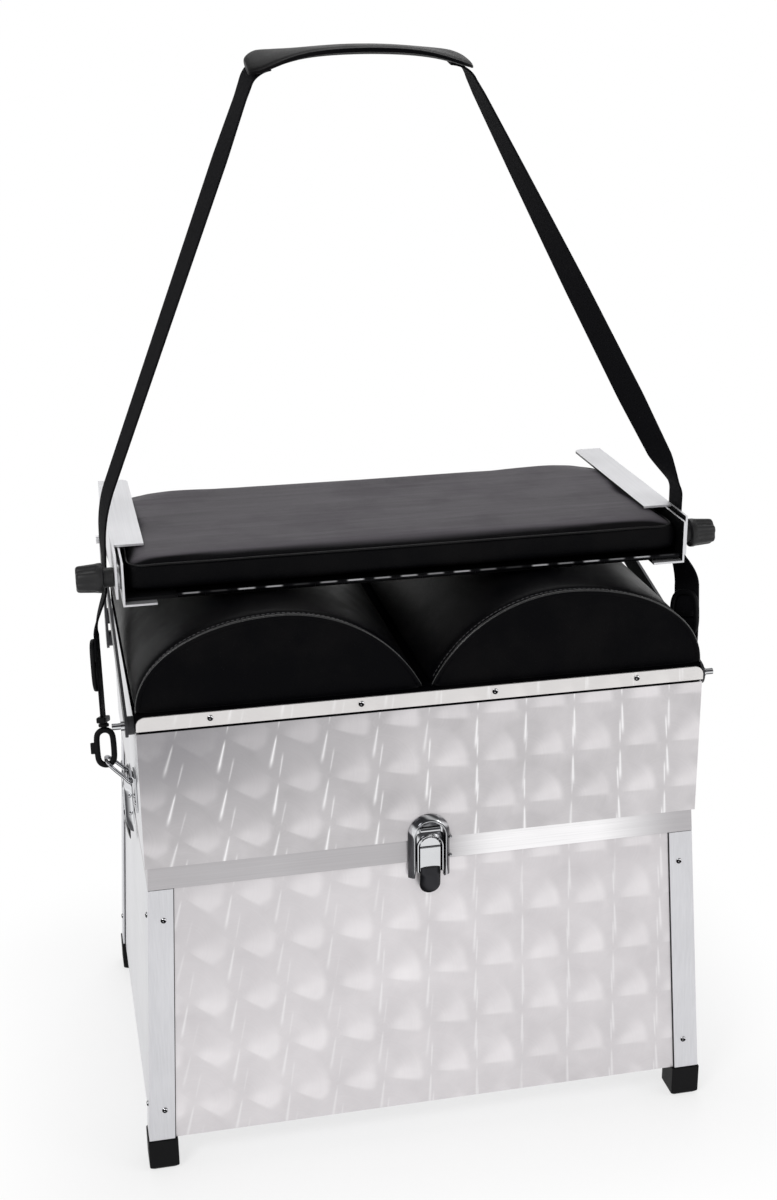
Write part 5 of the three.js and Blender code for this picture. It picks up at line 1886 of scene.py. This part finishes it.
LEGS = {
    Side.LEFT: Leg(
        587.0, 26.0, 274.0, 0.0, (8.0, 8.0), 17.0, 0.46,
        ((523, 0), (560, -6), (600, -12), (880, -18), (951, -10)),
    ),
    Side.RIGHT: Leg(
        572.5, 5.0, 271.0, 5.0, (28.0, 14.0), 10.0, 0.23,
        ((523, 0), (578, 2), (604, 34), (660, 42), (760, 34), (860, 18), (951, 2)),
    ),
}


@dataclass
class Strap(Assembly):
    """The carrying strap with its sliders, hooks, rings and shoulder pad; in millimetres.

    Attributes:
        out, place, plate_bottom: X, Y and lowest height of the line beside the brackets.
        slider_drop, eye_drop, link_drop: places of the fittings below the run's top.
        ring_bar, ring_half: middle and half width of the right ring's bar.
        link_foot: how far below the middle of the hook's link the ring's top lies.
        section, sleeve_half: half width and half thickness of the webbing and of the sleeve.
    """

    out: float = 262.5
    place: float = -58.0
    plate_bottom: float = 523.0
    top: float = 946.0
    run_place: float = -75.0
    run_height: float = 482.0
    lean: float = 20.0
    slider_drop: float = 27.0
    eye_drop: float = 72.0
    link_drop: float = 99.0
    ring_bar: Triple = (254.9, -112.4, 360.1)
    ring_half: float = 11.3
    ring_wire: float = 1.65
    link_foot: float = 10.4
    section: Pair = (14.0, 1.0)
    sleeve_half: Pair = (26.0, 4.0)
    keep: float = 0.25

    def direction(self, side: Side) -> np.ndarray:
        """The way the lower run leans, upwards: back by lean and out by inward, in degrees."""
        back, out = math.radians(self.lean), math.radians(LEGS[side].inward)
        return np.array([
            math.sin(out), math.cos(out) * math.sin(back), math.cos(out) * math.cos(back),
        ])

    def on_run(self, side: Side, drop: float) -> np.ndarray:
        """The point of the lower run at a drop below its top, before it is mirrored."""
        start = np.array([LEGS[side].run_out, self.run_place, self.run_height])
        return start - self.direction(side) * drop

    def turn(self, side: Side, drop: Union[float, np.ndarray]) -> np.ndarray:
        """How far the lower run is turned at a drop, from the slider's turn to the eye's."""
        return np.interp(drop, (self.slider_drop, self.eye_drop), LEGS[side].turns)

    def across(self, turn: np.ndarray) -> np.ndarray:
        """The strap's width direction (sin t, -cos t, 0) for turns in degrees."""
        angle = np.radians(turn)
        return np.stack([np.sin(angle), -np.cos(angle), np.zeros(len(angle))], axis=-1)

    def lower(self, side: Side) -> Surface:
        """The straight lower run from the hook's eye to the top of the run.

        Args:
            side: which leg.

        Returns:
            The closed surface.
        """
        drops = np.linspace(self.eye_drop + 2.2, -0.8, 26)
        path = np.stack([self.on_run(side, drop) for drop in drops])
        across = self.across(self.turn(side, drops))
        return swept(path, across, oval(*self.section, 8, 28)).mirrored(side)

    def upper(self, side: Side) -> Surface:
        """The leg from the top of the run to inside the shoulder pad.

        A cubic turns it from the run to the brackets' side, a line goes up beside them, a
        quadratic bends it to the line to the top, and a last bend lays it in the pad.

        Args:
            side: which leg.

        Returns:
            The closed surface.
        """
        leg, up = LEGS[side], np.array([0, 0, 1.0])
        start, beside = self.on_run(side, 0), np.array([self.out, self.place, self.plate_bottom])
        reach = (self.plate_bottom - self.run_height) / 3
        handles = (start, start + self.direction(side) * reach, beside - up * reach, beside)
        turn_over = pulled_curve(handles, 24)
        corner = np.array([self.out, self.place, leg.bend])
        end = np.array([leg.reach * self.out, self.place, self.top])
        to_end = unit(end - corner)
        below, after = corner - up * leg.rounding, corner + to_end * leg.rounding
        last = end - to_end * 9
        path = np.concatenate([
            turn_over,
            beside + (below - beside) * np.linspace(0, 1, 8)[1:, None],
            pulled_curve((below, corner, after), 14)[1:],
            after + (last - after) * np.linspace(0, 1, 90)[1:, None],
            pulled_curve((last, end + (-1.0, 0, 5.0), end + (-16.0, 0, 6.5)), 14)[1:],
        ])
        turns = np.interp(path[:, 2], *np.array(leg.twist, float).T)
        fade = (1 + np.cos(np.pi * np.linspace(0, 1, len(turn_over)))) / 2
        turns[:len(turn_over)] = self.turn(side, 0) * fade
        across = self.across(turns)
        tip = np.sin(np.radians(leg.tip) * np.clip((path[:, 2] - 926) / 22, 0, 1))
        across[:, 2] = across[:, 1] * tip
        return swept(path, across, oval(*self.section, 8, 28)).mirrored(side)

    def sleeve(self) -> Surface:
        """The shoulder pad: a lens section carried along a shallow arch and tipped at both ends.

        At share s along it and with b = 4 s (1 - s), half width w min(sqrt(b) + 0.54, 1), half
        thickness h (0.55 + 0.45 sqrt(b)), and the middle line rises by 11 b^0.7. The section is
        turned about X by tip exp(-(s / 0.17)^2) at either end.

        Returns:
            The closed surface.
        """
        ends = [side.value * (LEGS[side].reach * self.out + 2) for side in Side]
        s = (1 - np.cos(np.linspace(0.03, np.pi - 0.03, 60))) / 2
        bow = 4 * s * (1 - s)
        wide = self.sleeve_half[0] * np.minimum(np.sqrt(bow) + 0.54, 1.0)
        thick = self.sleeve_half[1] * (0.55 + 0.45 * np.sqrt(bow))
        ring = oval(1, 1, 2.6, 44)
        edge = 1 - 0.25 * np.exp(-(((np.abs(ring[:, 0]) - 0.86) / 0.05) ** 2))
        x = ends[0] + (ends[1] - ends[0]) * s
        z = self.top + 2.0 + thick + 11 * bow**0.7
        near = np.exp(-((np.stack([s, 1 - s], axis=-1) / 0.17) ** 2))
        tip = np.radians(near @ [LEGS[side].tip for side in Side])[:, None]
        flat, tall = wide[:, None] * ring[None, :, 0], thick[:, None] * (ring[:, 1] * edge)[None]
        rings = np.stack([
            np.broadcast_to(x[:, None], flat.shape),
            self.place + flat * np.cos(tip) - tall * np.sin(tip),
            z[:, None] + flat * np.sin(tip) + tall * np.cos(tip),
        ], axis=-1)
        return skin(rings * MM)

    def ring(self, side: Side) -> Surface:
        """The bent wire ring, leaning out from its bar to the foot of the hook's link.

        Args:
            side: which leg.

        Returns:
            The closed surface.
        """
        along, half = np.array([0, 1.0, 0]), self.ring_half
        foot = self.on_run(side, self.link_drop + self.link_foot)
        up = (foot - np.array(self.ring_bar)) * (1, 0, 1)
        rise = np.linalg.norm(up)
        up /= rise
        near = ((half, 0), (half, 0.3 * rise), (0.85 * half, 0.8 * rise), (0.4 * half, rise))
        spots = np.array([*near, *((-out, height) for out, height in near[::-1])])
        corners = np.array(self.ring_bar) + spots[:, :1] * along + spots[:, 1:] * up
        path = smooth_loop(corners, 7)
        section = oval(self.ring_wire, self.ring_wire, 2, 14)
        return swept(path, np.cross(up, along), section, closed=True).mirrored(side)

    def stand(self, side: Side, drop: float, aside: float = 0.0) -> Matrix:
        """The matrix that sets a piece on the lower run: X across it, Z up it.

        Args:
            side: which leg.
            drop: its place on the run, in millimetres.
            aside: how far beside the run it sits.

        Returns:
            A turn and a move.
        """
        way = self.direction(side)
        centre = self.on_run(side, drop) + np.array([aside, 0, 0])
        wide = self.across(np.array([self.turn(side, drop)]))[0]
        wide = unit(wide - wide @ way * way)
        basis = Matrix((tuple(wide), tuple(np.cross(way, wide)), tuple(way))).transposed().to_4x4()
        return Matrix.Translation(Vector(centre) * MM) @ basis

    def slider(self, side: Side) -> Surface:
        """The slider: a rounded frame round two windows with a ribbed bar between them.

        Args:
            side: which leg.

        Returns:
            The slider's surface.
        """
        out = -3.3 * side.value
        loop = oval(14.0, 20.5, 3.0, 60)
        path = np.stack([loop[:, 0], np.full(len(loop), out), loop[:, 1]], axis=-1)
        ring = swept(path, (0, 1, 0), oval(2.0, 2.5, 3, 14), closed=True)
        bars = [rounded_block((0, out, 0), (12.6, 1.7, 2.6), 0.8)]
        bars += [rounded_block((0, out, z), (11.0, 2.2, 0.5), 0.3) for z in (-1.6, 0.0, 1.6)]
        return joined([ring, *bars]).moved(self.stand(side, self.slider_drop)).mirrored(side)

    def hook(self, side: Side) -> Surface:
        """The snap hook: eye, swivel neck, oval link and thumb piece.

        Args:
            side: which leg.

        Returns:
            The hook's surface.
        """
        way = self.direction(side)
        flat = unit(np.cross(way, np.array([1.0, 0, 0])))
        angle = np.linspace(0, 2 * np.pi, 56, endpoint=False)
        rise = np.tanh(4 * np.sin(angle)) * 8 + 7.2 * np.sin(angle)
        loop = 7.2 * np.cos(angle)[:, None] * np.cross(flat, way) + rise[:, None] * way
        path = self.on_run(side, self.link_drop) + loop
        link = swept(path, flat, oval(2.75, 2.6, 2.4, 16), closed=True)
        barrel = [(0, 4.2), (1, 4.6), (2.6, 4.6), (3.4, 3.4), (4.8, 3.0), (6.0, 3.4)]
        neck = lathe(barrel, tuple(self.on_run(side, self.eye_drop + 9.2)), tuple(way), 24)
        eye = rounded_block((0, 0, -2.5), (17, 4.5, 2.5), 1.2)
        thumb = rounded_block((0, 0, 0), (1.6, 2.2, 5.0), 0.9)
        return joined([
            link, neck, eye.moved(self.stand(side, self.eye_drop)),
            thumb.moved(self.stand(side, self.link_drop, 10.6)),
        ]).mirrored(side)

    def make(self) -> None:
        """Builds the strap and its fittings."""
        for side in Side:
            word = side.word
            upper = build(f"strap_leg_{word}", self.upper(side), WEBBING, "lid", 60)
            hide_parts(f"webbing_{word}")
            lower = build(f"strap_run_{word}", self.lower(side), WEBBING, "lid", 60)
            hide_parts(f"webbing_{word}")
            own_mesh(upper)
            ring = build(f"strap_ring_{word}", self.ring(side), CHROME, "lid")
            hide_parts(f"ring_{word}")
            hook = build(f"strap_hook_{word}", self.hook(side), PLASTIC, "lid", 45)
            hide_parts(f"snap_hook_{word}")
            slider = build(f"strap_slider_{word}", self.slider(side), PLASTIC, "lid", 45)
            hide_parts(f"slider_{word}")
        sleeve = build("shoulder_sleeve", self.sleeve(), LEATHERETTE, "lid")
        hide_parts("shoulder_pad")
        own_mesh(sleeve)


# ---------------------------------------------------------------- studio


@dataclass
class Studio:
    """Plain pale floor, soft lamps, even surroundings and the camera, in metres and degrees.

    Attributes:
        lens, film: focal length and height of the film, in millimetres.
        floor_reach, box_reach: half sizes of the floor and of the box's foot.
        fade: the stretch from the box's foot on which the floor goes to white.
        lamps: name, place, size and power of each lamp, all aimed at the height aim.
    """

    lens: float = 51.48
    film: float = 36.0
    eye: Triple = (-0.31363, -1.49412, 1.01524)
    azimuth: float = -11.94
    elevation: float = 19.86
    roll: float = -0.58
    floor_reach: float = 30.0
    floor_tone: float = 0.94
    box_reach: Triple = (0.26, 0.18, 0)
    fade: Pair = (0.0, 0.2)
    lamps: Tuple[Tuple[str, Triple, float, float], ...] = (
        ("key", (-1.7, -1.9, 2.3), 0.9, 28.0),
        ("fill", (1.9, -1.3, 1.5), 1.3, 10.0),
        ("back", (0.3, 1.5, 2.5), 1.8, 18.0),
    )
    aim: float = 0.4

    def camera(self) -> None:
        """Sets the camera at the photograph's place and angle."""
        data = bpy.data.cameras.new("camera")
        data.sensor_fit = "VERTICAL"
        data.sensor_height = self.film
        data.lens = self.lens
        data.clip_end = 200.0
        matrix = Matrix.Translation(self.eye)
        for angle, axis in ((self.azimuth, "Z"), (90 - self.elevation, "X"), (self.roll, "Z")):
            matrix @= Matrix.Rotation(math.radians(angle), 4, axis)
        camera = placed("camera", data)
        camera.matrix_world = matrix
        bpy.context.scene.camera = camera

    def floor(self) -> None:
        """A pale floor that keeps the shadow near the box and goes to white away from it."""
        square = ((-1, -1, 0), (1, -1, 0), (1, 1, 0), (-1, 1, 0))
        mesh = meshed("floor", Surface(np.array(square) * self.floor_reach, [[0, 1, 2, 3]]))
        material = bpy.data.materials.new("floor_paint")
        material.use_nodes = True
        graph, nodes = Graph(material.node_tree), material.node_tree.nodes
        shader, tone = nodes["Principled BSDF"], graph.noise(graph.place(), 3.0, 2.0)
        colour = graph.mix(tone, (self.floor_tone,) * 3, (self.floor_tone + 0.02,) * 3)
        graph.paint(shader, Base_Color=colour, Roughness=0.8, Specular_IOR_Level=0.1)
        flat = graph.vector("MULTIPLY", graph.vector("ABSOLUTE", graph.place()), (1, 1, 0))
        beyond = graph.vector("SUBTRACT", flat, self.box_reach)
        outside = graph.vector("LENGTH", graph.vector("MAXIMUM", beyond, (0, 0, 0)))
        away = graph.ramp(outside, self.fade, (0.68, 1.0))
        glow = graph.add("ShaderNodeEmission", {"Color": (1, 1, 1, 1), "Strength": 1.0})
        shares = {0: graph.times(away, self.seen(graph)), 1: shader.outputs[0], 2: glow.outputs[0]}
        mixed = graph.add("ShaderNodeMixShader", shares)
        graph.feed(nodes["Material Output"].inputs[0], mixed.outputs[0])
        mesh.materials.append(material)
        piece = placed("floor", mesh)

    def seen(self, graph: Graph) -> bpy.types.NodeSocket:
        """1 for camera, glossy and transmission rays, 0 for the rest."""
        path = graph.add("ShaderNodeLightPath").outputs
        total = graph.math("ADD", path["Is Camera Ray"], path["Is Glossy Ray"])
        return graph.math("ADD", total, path["Is Transmission Ray"], clamp=True)

    def surroundings(self) -> None:
        """Even light from all round, dimmer from above, white towards the horizon."""
        world = bpy.data.worlds.new("studio")
        bpy.context.scene.world = world
        world.use_nodes = True
        graph = Graph(world.node_tree)
        height = graph.parts(graph.add("ShaderNodeTexCoord").outputs["Generated"])[2]
        strength = graph.ramp(height, (0.15, 0.9), (0.75, 0.42))
        white = graph.times(self.seen(graph), graph.ramp(height, (0.35, 0.1)))
        level = graph.plus(white, graph.math("SUBTRACT", 1.0, strength), strength)
        graph.paint(world.node_tree.nodes["Background"], Color=(1, 1, 1, 1), Strength=level)

    def light(self) -> None:
        """Soft square lamps aimed at the box."""
        for name, place, size, power in self.lamps:
            data = bpy.data.lights.new(name, "AREA")
            data.size = size
            data.energy = power
            aim = Vector((0, 0, self.aim)) - Vector(place)
            turn = aim.to_track_quat("-Z", "Y").to_matrix().to_4x4()
            placed(name, data).matrix_world = Matrix.Translation(place) @ turn

    def make(self) -> None:
        """Builds the whole studio."""
        self.camera()
        self.floor()
        self.surroundings()
        self.light()
        bpy.context.scene.view_settings.view_transform = "Standard"


def main() -> None:
    """Builds the sub-assemblies in order."""
    logging.basicConfig(level=logging.INFO, format="%(message)s")
    for part in (LowerBox(), Lid(), Seat(), Backrest(), Latches(), Strap()):
        LOG.info("%s", type(part).__name__)
        part.make()
    Studio().make()


if __name__ == "__main__":
    main()
